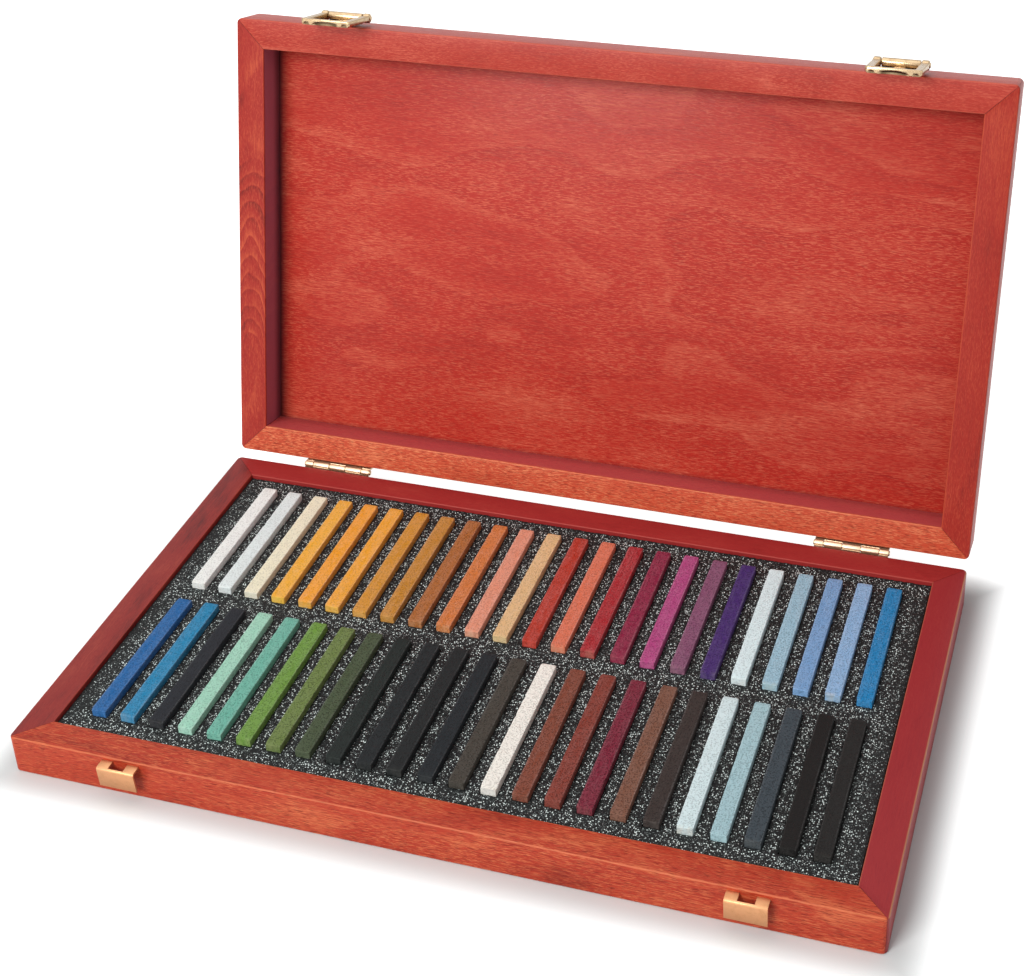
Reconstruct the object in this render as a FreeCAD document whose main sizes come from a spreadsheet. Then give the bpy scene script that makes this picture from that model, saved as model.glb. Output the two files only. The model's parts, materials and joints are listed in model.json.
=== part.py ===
import FreeCAD, Part
import Sketcher
import math
import os
import re

# A flat wooden case for pastel sticks. The base holds two rows of sticks in slotted foam.
# The lid turns on two butt hinges at the back and is drawn open, as it stands in use.
# Two bails hang on the front of the lid and drop over keepers on the front of the base.
# Millimetres, +Z up, +X to the right, the front faces -Y, origin at the centre of the underside.

doc = FreeCAD.newDocument("PastelCase")
sheet = doc.addObject("Spreadsheet::Sheet", "Sizes")

sizes = [
    ("base_height", 20.0, "height of the base"),
    ("lid_height", 22.0, "height of the lid"),
    ("rail_width", 15.0, "width of the wooden rails"),
    ("corner_round", 2.6, "radius of the upright corners"),
    ("edge_round", 1.2, "radius along the outer edges"),
    ("panel_thickness", 3.0, "plywood of the bottom and of the lid"),
    ("panel_seat", 7.0, "how far a panel sits over the rails"),
    ("panel_play", 0.1, "gap round a panel in its rebate"),
    ("rim_gap", 0.5, "gap between the rims when the case is shut"),
    ("lid_open_angle", 103.5, "angle that the lid stands open at"),
    ("foam_play", 0.5, "gap between the foam and the rails"),
    ("end_margin", 13.46, "foam beyond the first and the last stick of a row"),
    ("row_margin", 11.1, "foam beyond the outer ends of the sticks"),
    ("foam_drop", 2.0, "top of the foam below the rim"),
    ("slot_depth", 4.3, "depth of the slots in the foam"),
    ("slot_play", 0.3, "gap between a stick and its slot"),
    ("stick_side", 7.2, "side of a square stick"),
    ("stick_length", 86.4, "length of a stick"),
    ("stick_arris", 0.45, "chamfer along the edges of a stick"),
    ("stick_pitch", 14.56, "from one stick to the next in a row"),
    ("row_stick_count", 24, "sticks in each of the two rows"),
    ("row_gap", 13.0, "between the back row and the front row"),
    ("hinge_inset", 59.0, "middle of a hinge in from the side of the case"),
    ("hinge_length", 37.6, "length of a hinge"),
    ("hinge_standoff", 0.25, "between the hinge barrel and the back faces"),
    ("knuckle_radius", 1.75, "outside radius of the hinge barrel"),
    ("knuckle_gap", 0.2, "gap between knuckles"),
    ("leaf_thickness", 1.0, "sheet of the hinge leaves"),
    ("leaf_height", 12.5, "height of a hinge leaf"),
    ("leaf_gap", 0.5, "gap between the two leaves when the case is shut"),
    ("pin_radius", 0.7, "radius of the hinge pin"),
    ("pin_head_radius", 1.3, "radius of the pin's riveted ends"),
    ("pin_head_length", 0.5, "length of the pin's riveted ends"),
    ("running_play", 0.05, "radial clearance of a pin or rod in its bore"),
    ("screw_shank_radius", 0.9, "shank of a hinge screw"),
    ("screw_head_radius", 1.7, "countersunk head of a hinge screw"),
    ("screw_head_height", 0.8, "height of the countersunk head"),
    ("screw_length", 8.0, "length of a hinge screw"),
    ("screw_slot", 0.45, "width and depth of the driver's slot"),
    ("screw_play", 0.03, "gap round a screw or nail"),
    ("catch_inset", 57.5, "middle of a catch in from the side of the case"),
    ("keeper_sheet", 1.0, "sheet of a keeper"),
    ("keeper_drop", 1.8, "top of a keeper below the rim of the base"),
    ("keeper_height", 10.9, "height of a keeper's front plate"),
    ("keeper_reach", 5.0, "how far a keeper stands out at its top"),
    ("keeper_lean", 2.2, "how far its front plate leans in at the bottom"),
    ("keeper_notch", 7.4, "width of the notch in its top"),
    ("prong_length", 5.0, "length of the prongs driven into the rail"),
    ("rod_height", 11.0, "catch rod above the rim of the lid"),
    ("rod_out", 3.0, "catch rod out from the face of the lid"),
    ("rod_radius", 0.8, "radius of the catch rod"),
    ("rod_head_radius", 1.25, "radius of the rod's riveted ends"),
    ("rod_head_length", 0.4, "length of the rod's riveted ends"),
    ("bracket_width", 18.4, "width of a catch bracket"),
    ("bracket_sheet", 0.9, "sheet of a catch bracket"),
    ("bracket_lift", 1.4, "lower edge of a bracket above the rim of the lid"),
    ("barrel_radius", 2.2, "radius of the bracket's rolled barrel"),
    ("tab_width", 5.6, "width of the raised tab in the middle of a bracket"),
    ("tab_rise", 0.8, "how far the tab stands out of the bracket"),
    ("nail_head_radius", 0.95, "head of a bracket nail"),
    ("nail_head_height", 0.4, "height of a nail's head"),
    ("nail_radius", 0.6, "shank of a bracket nail"),
    ("nail_length", 7.0, "length of a bracket nail"),
    ("nail_spread", 4.7, "nail from the middle of its bracket"),
    ("nail_rise", 4.6, "nail above the rim of the lid"),
    ("lug_gap", 0.6, "gap between a bracket and the bail's lugs, each side"),
    ("keeper_side_gap", 0.7, "gap between a keeper and the shut bail's arms, each side"),
    ("bail_arm_width", 3.6, "width of a bail's arms"),
    ("bail_thickness", 2.2, "thickness of a bail's arms"),
    ("bail_bar_height", 2.0, "height of a bail's free bar"),
    ("bail_bar_depth", 3.2, "depth of a bail's free bar"),
    ("lug_radius", 2.4, "radius of the lugs that turn on the rod"),
    ("scallop_width", 11.0, "width of the wave in the free bar's edge"),
    ("scallop_depth", 0.9, "depth of that wave"),
    ("catch_play", 0.4, "gap between a shut bail and its keeper"),
    ("cut_overrun", 1.0, "how far a cutting solid runs past a face"),
]

for row, (alias, value, note) in enumerate(sizes, start=1):
    sheet.set(f"A{row}", alias)
    sheet.set(f"B{row}", str(value))
    sheet.set(f"C{row}", note)
    sheet.setAlias(f"B{row}", alias)
doc.recompute()

alias_pattern = re.compile(r"\b(" + "|".join(alias for alias, value, note in sizes) + r")\b")

# Shares of a hinge's length, from its left end, that its five knuckles take.
knuckle_shares = (0.125, 0.25, 0.25, 0.25, 0.125)

# Places of the screws on a leaf, as shares of the hinge's length and of the leaf's height.
screw_place_shares = ((-0.36, 0.36), (0.0, 0.68), (0.36, 0.36))

# Sizes and places that several pieces share, as expressions in the sheet's names.
# The case is as wide and as deep as the foam round its sticks needs.
row_length = "((row_stick_count - 1) * stick_pitch + stick_side)"
case_width = f"({row_length} + 2 * (end_margin + foam_play + rail_width))"
case_depth = "(2 * (stick_length + row_margin + foam_play + rail_width) + row_gap)"
axis_out = "(hinge_standoff + knuckle_radius)"
axis_y = f"({case_depth} / 2 + {axis_out})"
axis_z = "(base_height + rim_gap / 2)"
lid_face_y = f"(-{axis_out} - {case_depth})"
hinge_middle_x = f"({case_width} / 2 - hinge_inset)"
catch_middle_x = f"({case_width} / 2 - catch_inset)"
bail_inner_width = "(bracket_width + 2 * lug_gap)"
bail_width = f"({bail_inner_width} + 2 * bail_arm_width)"
keeper_width = f"({bail_inner_width} - 2 * keeper_side_gap)"
slot_floor_z = "(base_height - foam_drop - slot_depth)"
rod_y = f"({lid_face_y} - rod_out)"
rod_z = "(rim_gap / 2 + rod_height)"
bail_bar_top_z = "(-rim_gap / 2 - keeper_drop - keeper_height - catch_play)"

x_axis = FreeCAD.Vector(1, 0, 0)
along_x = FreeCAD.Rotation(FreeCAD.Vector(0, 1, 0), 90)
into_front = FreeCAD.Rotation(FreeCAD.Vector(1, 0, 0), -90)
into_back = FreeCAD.Rotation(FreeCAD.Vector(1, 0, 0), 90)
left_side = FreeCAD.Rotation(FreeCAD.Vector(0, 0, 1), 90)
right_side = FreeCAD.Rotation(FreeCAD.Vector(0, 0, 1), -90)

nodes = []


def bind(item, path, text):
    item.setExpression(path, alias_pattern.sub(r"Sizes.\1", text))


def put(item, x="0", y="0", z="0", rotation=None):
    if rotation is not None:
        item.Placement = FreeCAD.Placement(FreeCAD.Vector(), rotation)
    for axis, text in (("x", x), ("y", y), ("z", z)):
        bind(item, f"Placement.Base.{axis}", text)
    return item


def box(name, width, depth, height, x, y, z):
    # x is the box's middle; y and z are its lowest edges.
    item = doc.addObject("Part::Box", name)
    bind(item, "Length", width)
    bind(item, "Width", depth)
    bind(item, "Height", height)
    return put(item, f"{x} - ({width}) / 2", y, z)


def cylinder(name, radius, length, x, y, z, rotation=None):
    item = doc.addObject("Part::Cylinder", name)
    bind(item, "Radius", radius)
    bind(item, "Height", length)
    return put(item, x, y, z, rotation)


def cone(name, foot_radius, top_radius, length, x, y, z, rotation=None):
    item = doc.addObject("Part::Cone", name)
    bind(item, "Radius1", foot_radius)
    bind(item, "Radius2", top_radius)
    bind(item, "Height", length)
    return put(item, x, y, z, rotation)


def fuse(name, items):
    item = doc.addObject("Part::MultiFuse", name)
    item.Shapes = items
    return item


def cut(name, base, tools):
    item = doc.addObject("Part::Cut", name)
    item.Base = base
    item.Tool = tools[0] if len(tools) == 1 else fuse(f"{name}_tools", tools)
    return item


def common(name, first, second):
    item = doc.addObject("Part::Common", name)
    item.Base = first
    item.Tool = second
    return item


def keep(item, label):
    item.Label = label
    nodes.append(item)
    return item


def keep_on_axis(item, label, opened):
    # Pieces beside the hinges are drawn with the case shut and their origin on the hinge axis.
    # Those of the lid then turn back round that axis to where the lid stands open.
    item.Placement = FreeCAD.Placement(FreeCAD.Vector(), FreeCAD.Rotation(x_axis, 0))
    if opened:
        bind(item, "Placement.Rotation.Angle", "-lid_open_angle")
    bind(item, "Placement.Base.y", axis_y)
    bind(item, "Placement.Base.z", axis_z)
    return keep(item, label)


def edges_where(feature, test):
    found = []
    for number, edge in enumerate(feature.Shape.Edges, start=1):
        if test(edge):
            found.append(f"Edge{number}")
    return found


def origin_part(body, role):
    return next(item for item in body.Origin.OriginFeatures if item.Role == role)


# The rails. Each frame is four mitred rails cut from one block with rounded edges.


def rounded_block(name, middle_y, floor_z, height):
    body = doc.addObject("PartDesign::Body", name)
    block = body.newObject("PartDesign::AdditiveBox", f"{name}_box")
    bind(block, "Length", case_width)
    bind(block, "Width", case_depth)
    bind(block, "Height", height)
    put(block, f"-{case_width} / 2", f"{middle_y} - {case_depth} / 2", floor_z)
    doc.recompute()

    upright = body.newObject("PartDesign::Fillet", f"{name}_corners")
    upright.Base = (block, edges_where(block, lambda edge: abs(edge.tangentAt(0).z) > 0.5))
    bind(upright, "Radius", "corner_round")
    doc.recompute()

    rims = body.newObject("PartDesign::Fillet", f"{name}_edges")
    outline = edges_where(upright, lambda edge: abs(edge.tangentAt(edge.FirstParameter).z) < 0.5)
    rims.Base = (upright, outline)
    bind(rims, "Radius", "edge_round")
    body.Tip = rims
    return body


def mitred_blank(name, length, width, height, middle_y, floor_z, rotation):
    # The blank's outer face lies at +Y before it turns, and its ends narrow at 45 degrees.
    item = doc.addObject("Part::Wedge", name)
    bind(item, "Xmin", f"-{length} / 2 + rail_width")
    bind(item, "Xmax", f"{length} / 2 - rail_width")
    bind(item, "X2min", f"-{length} / 2")
    bind(item, "X2max", f"{length} / 2")
    bind(item, "Ymin", f"{width} / 2 - rail_width")
    bind(item, "Ymax", f"{width} / 2")
    bind(item, "Zmax", height)
    bind(item, "Z2max", height)
    item.Zmin = 0
    item.Z2min = 0
    return put(item, "0", middle_y, floor_z, rotation)


def frame(name, middle_y, floor_z, height, rebate_z, extra_cuts, register):
    block = rounded_block(f"{name}_block", middle_y, floor_z, height)
    rebate_width = f"{case_width} - 2 * (rail_width - panel_seat)"
    rebate_depth = f"{case_depth} - 2 * (rail_width - panel_seat)"
    rebate = box(f"{name}_rebate", rebate_width, rebate_depth, "panel_thickness + cut_overrun", "0",
                 f"{middle_y} - ({rebate_depth}) / 2", rebate_z)
    sides = (
        ("front", case_width, case_depth, FreeCAD.Rotation(FreeCAD.Vector(0, 0, 1), 180)),
        ("back", case_width, case_depth, FreeCAD.Rotation()),
        ("left", case_depth, case_width, left_side),
        ("right", case_depth, case_width, right_side),
    )
    for side, length, width, rotation in sides:
        blank = mitred_blank(f"{name}_{side}_blank", length, width, height, middle_y, floor_z, rotation)
        rail = common(f"{name}_{side}_rail_round", block, blank)
        rail = cut(f"{name}_{side}_rail", rail, [rebate] + extra_cuts.get(side, []))
        register(rail, f"{name}_{side}_rail")


def panel(name, middle_y, floor_z):
    body = doc.addObject("PartDesign::Body", name)
    board = body.newObject("PartDesign::AdditiveBox", f"{name}_board")
    width = f"({case_width} - 2 * (rail_width - panel_seat) - 2 * panel_play)"
    depth = f"({case_depth} - 2 * (rail_width - panel_seat) - 2 * panel_play)"
    bind(board, "Length", width)
    bind(board, "Width", depth)
    bind(board, "Height", "panel_thickness")
    put(board, f"-{width} / 2", f"{middle_y} - {depth} / 2", floor_z)
    return body


# Holes that the fasteners need in the rails.


def pilot_holes(name, face_y, first_z, direction):
    holes = []
    for side in (-1, 1):
        for number, (along_share, up_share) in enumerate(screw_place_shares):
            x = f"{side} * {hinge_middle_x} + {along_share} * hinge_length"
            z = f"{first_z} + ({direction}) * (leaf_gap / 2 + {up_share} * leaf_height)"
            hole = cylinder(f"{name}_{side + 1}_{number}", "screw_shank_radius + screw_play",
                            "screw_length + screw_play", x, face_y, z, into_back)
            holes.append(hole)
    return holes


def nail_holes():
    holes = []
    for side in (-1, 1):
        for turn in (-1, 1):
            x = f"{side} * {catch_middle_x} + {turn} * nail_spread"
            hole = cylinder(f"nail_hole_{side + 1}_{turn + 1}", "nail_radius + screw_play",
                            "nail_length + screw_play", x, lid_face_y, "rim_gap / 2 + nail_rise",
                            into_front)
            holes.append(hole)
    return holes


def prong_slots():
    slots = []
    leg = f"(({keeper_width} - keeper_notch) / 2)"
    for side in (-1, 1):
        for turn in (-1, 1):
            x = f"{side} * {catch_middle_x} + {turn} * (keeper_notch + {leg}) / 2"
            slot = box(f"prong_slot_{side + 1}_{turn + 1}", f"{leg} + 2 * screw_play",
                       "prong_length + screw_play + cut_overrun", "keeper_sheet + 2 * screw_play", x,
                       f"-{case_depth} / 2 - cut_overrun",
                       "base_height - keeper_drop - keeper_sheet - screw_play")
            slots.append(slot)
    return slots


# The base: four rails, a bottom panel and two layers of foam.

base_cuts = {
    "front": prong_slots(),
    "back": pilot_holes("base_pilot", f"{case_depth} / 2", axis_z, -1),
}
frame("base", "0", "0", "base_height", "-cut_overrun", base_cuts, keep)
keep(panel("base_bottom", "0", "0"), "base_bottom_panel")

foam_width = f"({case_width} - 2 * rail_width - 2 * foam_play)"
foam_depth = f"({case_depth} - 2 * rail_width - 2 * foam_play)"


def foam_underlay():
    body = doc.addObject("PartDesign::Body", "underlay")
    slab = body.newObject("PartDesign::AdditiveBox", "underlay_slab")
    bind(slab, "Length", foam_width)
    bind(slab, "Width", foam_depth)
    bind(slab, "Height", f"{slot_floor_z} - panel_thickness")
    put(slab, f"-{foam_width} / 2", f"-{foam_depth} / 2", "panel_thickness")
    return body


def row_front_y(row):
    # The back row is row 0 and the front row is row 1.
    return "row_gap / 2" if row == 0 else "(-row_gap / 2 - stick_length)"


def stick_middle_x(index):
    return f"({index} - (row_stick_count - 1) / 2) * stick_pitch"


def foam_tray():
    body = doc.addObject("PartDesign::Body", "tray")
    slab = body.newObject("PartDesign::AdditiveBox", "tray_slab")
    bind(slab, "Length", foam_width)
    bind(slab, "Width", foam_depth)
    bind(slab, "Height", "slot_depth")
    put(slab, f"-{foam_width} / 2", f"-{foam_depth} / 2", slot_floor_z)
    doc.recompute()
    slot_width = "(stick_side + 2 * slot_play)"
    for row in (0, 1):
        slot = body.newObject("PartDesign::SubtractiveBox", f"slot_{row}")
        bind(slot, "Length", slot_width)
        bind(slot, "Width", "stick_length + 2 * slot_play")
        bind(slot, "Height", "slot_depth + 2 * cut_overrun")
        put(slot, f"{stick_middle_x(0)} - {slot_width} / 2", f"{row_front_y(row)} - slot_play",
            f"{slot_floor_z} - cut_overrun")
        doc.recompute()
        pattern = body.newObject("PartDesign::LinearPattern", f"slots_{row}")
        pattern.Originals = [slot]
        pattern.Direction = (origin_part(body, "X_Axis"), [""])
        bind(pattern, "Length", "(row_stick_count - 1) * stick_pitch")
        bind(pattern, "Occurrences", "row_stick_count")
        body.Tip = pattern
        doc.recompute()
    return body


keep(foam_underlay(), "foam_underlay")
keep(foam_tray(), "foam_slotted_tray")


# The sticks lie in two rows. Two neighbours share a node, each a solid of its own.


def stick(row, index):
    name = f"stick_{row}_{index}"
    blank = box(f"{name}_blank", "stick_side", "stick_length", "stick_side", stick_middle_x(index),
                row_front_y(row), slot_floor_z)
    doc.recompute()
    item = doc.addObject("Part::Chamfer", name)
    item.Base = blank
    arris = float(sheet.get("stick_arris"))
    item.Edges = [(number, arris, arris) for number in range(1, len(blank.Shape.Edges) + 1)]
    return item


row_names = ("back", "front")
for row, row_name in enumerate(row_names):
    count = int(sheet.get("row_stick_count"))
    for first in range(0, count, 2):
        members = [stick(row, index) for index in range(first, min(first + 2, count))]
        label = f"{row_name}_pastels_{first + 1:02d}_{min(first + 2, count):02d}"
        keep(members[0] if len(members) == 1 else fuse(label, members), label)


# The lid: four rails and a plywood panel let in from above.

lid_middle_y = f"(-{axis_out} - {case_depth} / 2)"
lid_cuts = {
    "front": nail_holes(),
    "back": pilot_holes("lid_pilot", f"-{axis_out}", "0", 1),
}


def keep_lid_piece(item, label):
    return keep_on_axis(item, label, True)


lid_panel_z = "(rim_gap / 2 + lid_height - panel_thickness)"
frame("lid", lid_middle_y, "rim_gap / 2", "lid_height", lid_panel_z, lid_cuts, keep_lid_piece)
keep_lid_piece(panel("lid_top", lid_middle_y, lid_panel_z), "lid_panel")


# The hinges. Both leaves are drawn round the hinge axis; the left hinge gives its odd
# knuckles to the lid and the right hinge gives them to the base.


def knuckle_span(number):
    start_share = sum(knuckle_shares[:number])
    end_share = start_share + knuckle_shares[number]
    start = f"({start_share} - 0.5) * hinge_length"
    end = f"({end_share} - 0.5) * hinge_length"
    if number > 0:
        start = f"{start} + knuckle_gap / 2"
    if number < len(knuckle_shares) - 1:
        end = f"{end} - knuckle_gap / 2"
    return start, end


def hinge_leaf(name, side, knuckles, direction):
    middle_x = f"{side} * {hinge_middle_x}"
    leaf_floor_z = "leaf_gap / 2" if direction > 0 else "-leaf_gap / 2 - leaf_height"
    plate = box(f"{name}_plate", "hinge_length", "leaf_thickness", "leaf_height", middle_x,
                f"-{axis_out}", leaf_floor_z)
    clearings = []
    rolls = []
    for number in range(len(knuckle_shares)):
        start, end = knuckle_span(number)
        if number in knuckles:
            roll = cylinder(f"{name}_knuckle_{number}", "knuckle_radius", f"{end} - ({start})",
                            f"{middle_x} + {start}", "0", "0", along_x)
            rolls.append(roll)
        else:
            clearing = cylinder(f"{name}_clearing_{number}", "knuckle_radius + knuckle_gap",
                                f"{end} - ({start}) + 2 * knuckle_gap",
                                f"{middle_x} + {start} - knuckle_gap", "0", "0", along_x)
            clearings.append(clearing)
    whole = fuse(f"{name}_whole", [cut(f"{name}_cleared", plate, clearings)] + rolls)

    holes = [cylinder(f"{name}_bore", "pin_radius + running_play", "hinge_length + 2 * cut_overrun",
                      f"{middle_x} - hinge_length / 2 - cut_overrun", "0", "0", along_x)]
    for number, (along_share, up_share) in enumerate(screw_place_shares):
        x = f"{middle_x} + {along_share} * hinge_length"
        z = f"{direction} * (leaf_gap / 2 + {up_share} * leaf_height)"
        holes.append(cylinder(f"{name}_hole_{number}", "screw_shank_radius + screw_play",
                              "leaf_thickness + 2 * cut_overrun", x,
                              f"-{axis_out} + leaf_thickness + cut_overrun", z, into_back))
        holes.append(cone(f"{name}_sink_{number}", "screw_head_radius + screw_play",
                          "screw_shank_radius + screw_play", "screw_head_height", x,
                          f"-{axis_out} + leaf_thickness", z, into_back))
    return cut(name, whole, holes)


def hinge_screws(name, direction):
    screws = []
    for side in (-1, 1):
        for number, (along_share, up_share) in enumerate(screw_place_shares):
            x = f"{side} * {hinge_middle_x} + {along_share} * hinge_length"
            z = f"{direction} * (leaf_gap / 2 + {up_share} * leaf_height)"
            part = f"{name}_{side + 1}_{number}"
            face_y = f"(-{axis_out} + leaf_thickness)"
            head = cone(f"{part}_head", "screw_head_radius", "screw_shank_radius", "screw_head_height",
                        x, face_y, z, into_back)
            shank = cylinder(f"{part}_shank", "screw_shank_radius",
                             "screw_length + leaf_thickness - screw_head_height", x,
                             f"{face_y} - screw_head_height", z, into_back)
            slot = box(f"{part}_slot", "2 * screw_head_radius + cut_overrun", "screw_slot + cut_overrun",
                       "screw_slot", x, f"{face_y} - screw_slot", f"{z} - screw_slot / 2")
            screws.append(cut(part, fuse(f"{part}_blank", [head, shank]), [slot]))
    return fuse(name, screws)


def riveted_pin(name, radius, length, head_radius, head_length, middle_x, y, z):
    half = f"({length} / 2 + running_play)"
    pieces = [
        cylinder(f"{name}_shaft", radius, f"2 * {half}", f"{middle_x} - {half}", y, z, along_x),
        cylinder(f"{name}_end_0", head_radius, head_length, f"{middle_x} - {half} - {head_length}", y, z,
                 along_x),
        cylinder(f"{name}_end_1", head_radius, head_length, f"{middle_x} + {half}", y, z, along_x),
    ]
    return fuse(name, pieces)


def hinge_pin(name, side):
    return riveted_pin(name, "pin_radius", "hinge_length", "pin_head_radius", "pin_head_length",
                       f"{side} * {hinge_middle_x}", "0", "0")


all_knuckles = range(len(knuckle_shares))
odd_knuckles = all_knuckles[::2]
even_knuckles = all_knuckles[1::2]
for side_name, side, base_knuckles, lid_knuckles in (
    ("left", -1, even_knuckles, odd_knuckles),
    ("right", 1, odd_knuckles, even_knuckles),
):
    base_leaf = hinge_leaf(f"{side_name}_base_leaf", side, base_knuckles, -1)
    keep_on_axis(base_leaf, f"{side_name}_hinge_base_leaf", False)
    keep_on_axis(hinge_pin(f"{side_name}_pin", side), f"{side_name}_hinge_pin", False)
    lid_leaf = hinge_leaf(f"{side_name}_lid_leaf", side, lid_knuckles, 1)
    keep_lid_piece(lid_leaf, f"{side_name}_hinge_lid_leaf")
keep_on_axis(hinge_screws("base_screws", -1), "hinge_base_screws", False)
keep_lid_piece(hinge_screws("lid_screws", 1), "hinge_lid_screws")


# The keepers: one bent sheet each, with two prongs driven into the front rail.


def keeper(name, side):
    body = doc.addObject("PartDesign::Body", name)
    sketch = body.newObject("Sketcher::SketchObject", f"{name}_profile")
    sketch.AttachmentSupport = [(origin_part(body, "YZ_Plane"), "")]
    sketch.MapMode = "FlatFace"
    face_y = f"-{case_depth} / 2"
    lean_per_height = "(keeper_lean / keeper_height)"
    inner_reach = "(keeper_reach - keeper_sheet)"
    outline = [
        (f"{face_y} + prong_length", "base_height - keeper_drop"),
        (f"{face_y} - keeper_reach", "base_height - keeper_drop"),
        (f"{face_y} - keeper_reach + keeper_lean", "base_height - keeper_drop - keeper_height"),
        (f"{face_y} - keeper_reach + keeper_lean + keeper_sheet",
         "base_height - keeper_drop - keeper_height"),
        (f"{face_y} - {inner_reach} + {lean_per_height} * keeper_sheet",
         "base_height - keeper_drop - keeper_sheet"),
        (f"{face_y} + prong_length", "base_height - keeper_drop - keeper_sheet"),
    ]
    out = float(sheet.get("stick_length"))
    height = float(sheet.get("base_height"))
    count = len(outline)
    # Rough places on a circle, which the constraints below then draw to size.
    rough = []
    for number in range(count):
        angle = math.pi / 2 + 2 * math.pi * number / count
        rough.append(FreeCAD.Vector(-out + height * math.cos(angle), height * math.sin(angle), 0))
    for number in range(count):
        sketch.addGeometry(Part.LineSegment(rough[number], rough[(number + 1) % count]), False)
    for number in range(count):
        join = Sketcher.Constraint("Coincident", number, 2, (number + 1) % count, 1)
        sketch.addConstraint(join)
    for number, (across, up) in enumerate(outline):
        first = sketch.addConstraint(Sketcher.Constraint("DistanceX", -1, 1, number, 1, rough[number].x))
        bind(sketch, f"Constraints[{first}]", across)
        second = sketch.addConstraint(Sketcher.Constraint("DistanceY", -1, 1, number, 1, rough[number].y))
        bind(sketch, f"Constraints[{second}]", up)
    doc.recompute()
    pad = body.newObject("PartDesign::Pad", f"{name}_pad")
    pad.Profile = sketch
    pad.SideType = "Symmetric"
    bind(pad, "Length", keeper_width)
    doc.recompute()
    notch = body.newObject("PartDesign::SubtractiveBox", f"{name}_notch")
    bind(notch, "Length", "keeper_notch")
    bind(notch, "Width", f"{inner_reach} + prong_length + cut_overrun")
    bind(notch, "Height", "keeper_sheet + 2 * cut_overrun")
    put(notch, "-keeper_notch / 2", f"{face_y} - {inner_reach}",
        "base_height - keeper_drop - keeper_sheet - cut_overrun")
    body.Tip = notch
    put(body, f"{side} * {catch_middle_x}")
    return body


# The catches on the lid: a bracket with a rolled barrel, a rod through it and a bail on the rod.


def catch_bracket(name, side):
    middle_x = f"{side} * {catch_middle_x}"
    plate = box(f"{name}_plate", "bracket_width", "bracket_sheet", "rod_height - bracket_lift", middle_x,
                f"{lid_face_y} - bracket_sheet", "rim_gap / 2 + bracket_lift")
    tab = box(f"{name}_tab", "tab_width", "tab_rise + bracket_sheet",
              "rod_height - bracket_lift - tab_rise", middle_x,
              f"{lid_face_y} - bracket_sheet - tab_rise", "rim_gap / 2 + bracket_lift + tab_rise")
    barrel = cylinder(f"{name}_barrel", "barrel_radius", "bracket_width",
                      f"{middle_x} - bracket_width / 2", rod_y, rod_z, along_x)
    holes = [cylinder(f"{name}_bore", "rod_radius + running_play", "bracket_width + 2 * cut_overrun",
                      f"{middle_x} - bracket_width / 2 - cut_overrun", rod_y, rod_z, along_x)]
    for turn in (-1, 1):
        holes.append(cylinder(f"{name}_hole_{turn + 1}", "nail_radius + screw_play",
                              "bracket_sheet + 2 * cut_overrun", f"{middle_x} + {turn} * nail_spread",
                              f"{lid_face_y} - bracket_sheet - cut_overrun", "rim_gap / 2 + nail_rise",
                              into_front))
    return cut(name, fuse(f"{name}_whole", [plate, tab, barrel]), holes)


def catch_nails(name):
    nails = []
    for side in (-1, 1):
        for turn in (-1, 1):
            x = f"{side} * {catch_middle_x} + {turn} * nail_spread"
            part = f"{name}_{side + 1}_{turn + 1}"
            head_y = f"({lid_face_y} - bracket_sheet - nail_head_height)"
            head = cylinder(f"{part}_head", "nail_head_radius", "nail_head_height", x, head_y,
                            "rim_gap / 2 + nail_rise", into_front)
            shank = cylinder(f"{part}_shank", "nail_radius", "bracket_sheet + nail_length", x,
                             f"{head_y} + nail_head_height", "rim_gap / 2 + nail_rise", into_front)
            nails.append(fuse(part, [head, shank]))
    return fuse(name, nails)


def catch_rod(name, side):
    return riveted_pin(name, "rod_radius", bail_width, "rod_head_radius", "rod_head_length",
                       f"{side} * {catch_middle_x}", rod_y, rod_z)


def catch_bail(name, side):
    middle_x = f"{side} * {catch_middle_x}"
    bar_floor_z = f"({bail_bar_top_z} - bail_bar_height)"
    bar_front_y = f"({rod_y} - bail_thickness / 2)"
    pieces = [box(f"{name}_bar", bail_width, "bail_bar_depth", "bail_bar_height", middle_x,
                  bar_front_y, bar_floor_z)]
    for turn in (-1, 1):
        arm_x = f"{middle_x} + {turn} * ({bail_inner_width} + bail_arm_width) / 2"
        arm = box(f"{name}_arm_{turn + 1}", "bail_arm_width", "bail_thickness", f"{rod_z} - {bar_floor_z}",
                  arm_x, bar_front_y, bar_floor_z)
        lug = cylinder(f"{name}_lug_{turn + 1}", "lug_radius", "bail_arm_width",
                       f"{arm_x} - bail_arm_width / 2", rod_y, rod_z, along_x)
        pieces.extend([arm, lug])
    # The wave is an arc over the chord scallop_width, scallop_depth deep.
    wave_radius = "((scallop_width ^ 2 / 4 + scallop_depth ^ 2) / (2 * scallop_depth))"
    wave = cylinder(f"{name}_wave", wave_radius, "bail_bar_height + 2 * cut_overrun", middle_x,
                    f"{bar_front_y} + bail_bar_depth - scallop_depth + {wave_radius}",
                    f"{bar_floor_z} - cut_overrun")
    bore = cylinder(f"{name}_bore", "rod_radius + running_play", f"{bail_width} + 2 * cut_overrun",
                    f"{middle_x} - {bail_width} / 2 - cut_overrun", rod_y, rod_z, along_x)
    return cut(name, fuse(f"{name}_whole", pieces), [wave, bore])


for side_name, side in (("left", -1), ("right", 1)):
    keep(keeper(f"{side_name}_keeper_body", side), f"{side_name}_keeper")
    keep_lid_piece(catch_bracket(f"{side_name}_bracket", side), f"{side_name}_catch_bracket")
    keep_lid_piece(catch_rod(f"{side_name}_rod", side), f"{side_name}_catch_rod")
    keep_lid_piece(catch_bail(f"{side_name}_bail", side), f"{side_name}_catch_bail")
keep_lid_piece(catch_nails("bracket_nails"), "catch_bracket_nails")


# Every object is checked, then each sub-part is written to a file of its own.

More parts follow.
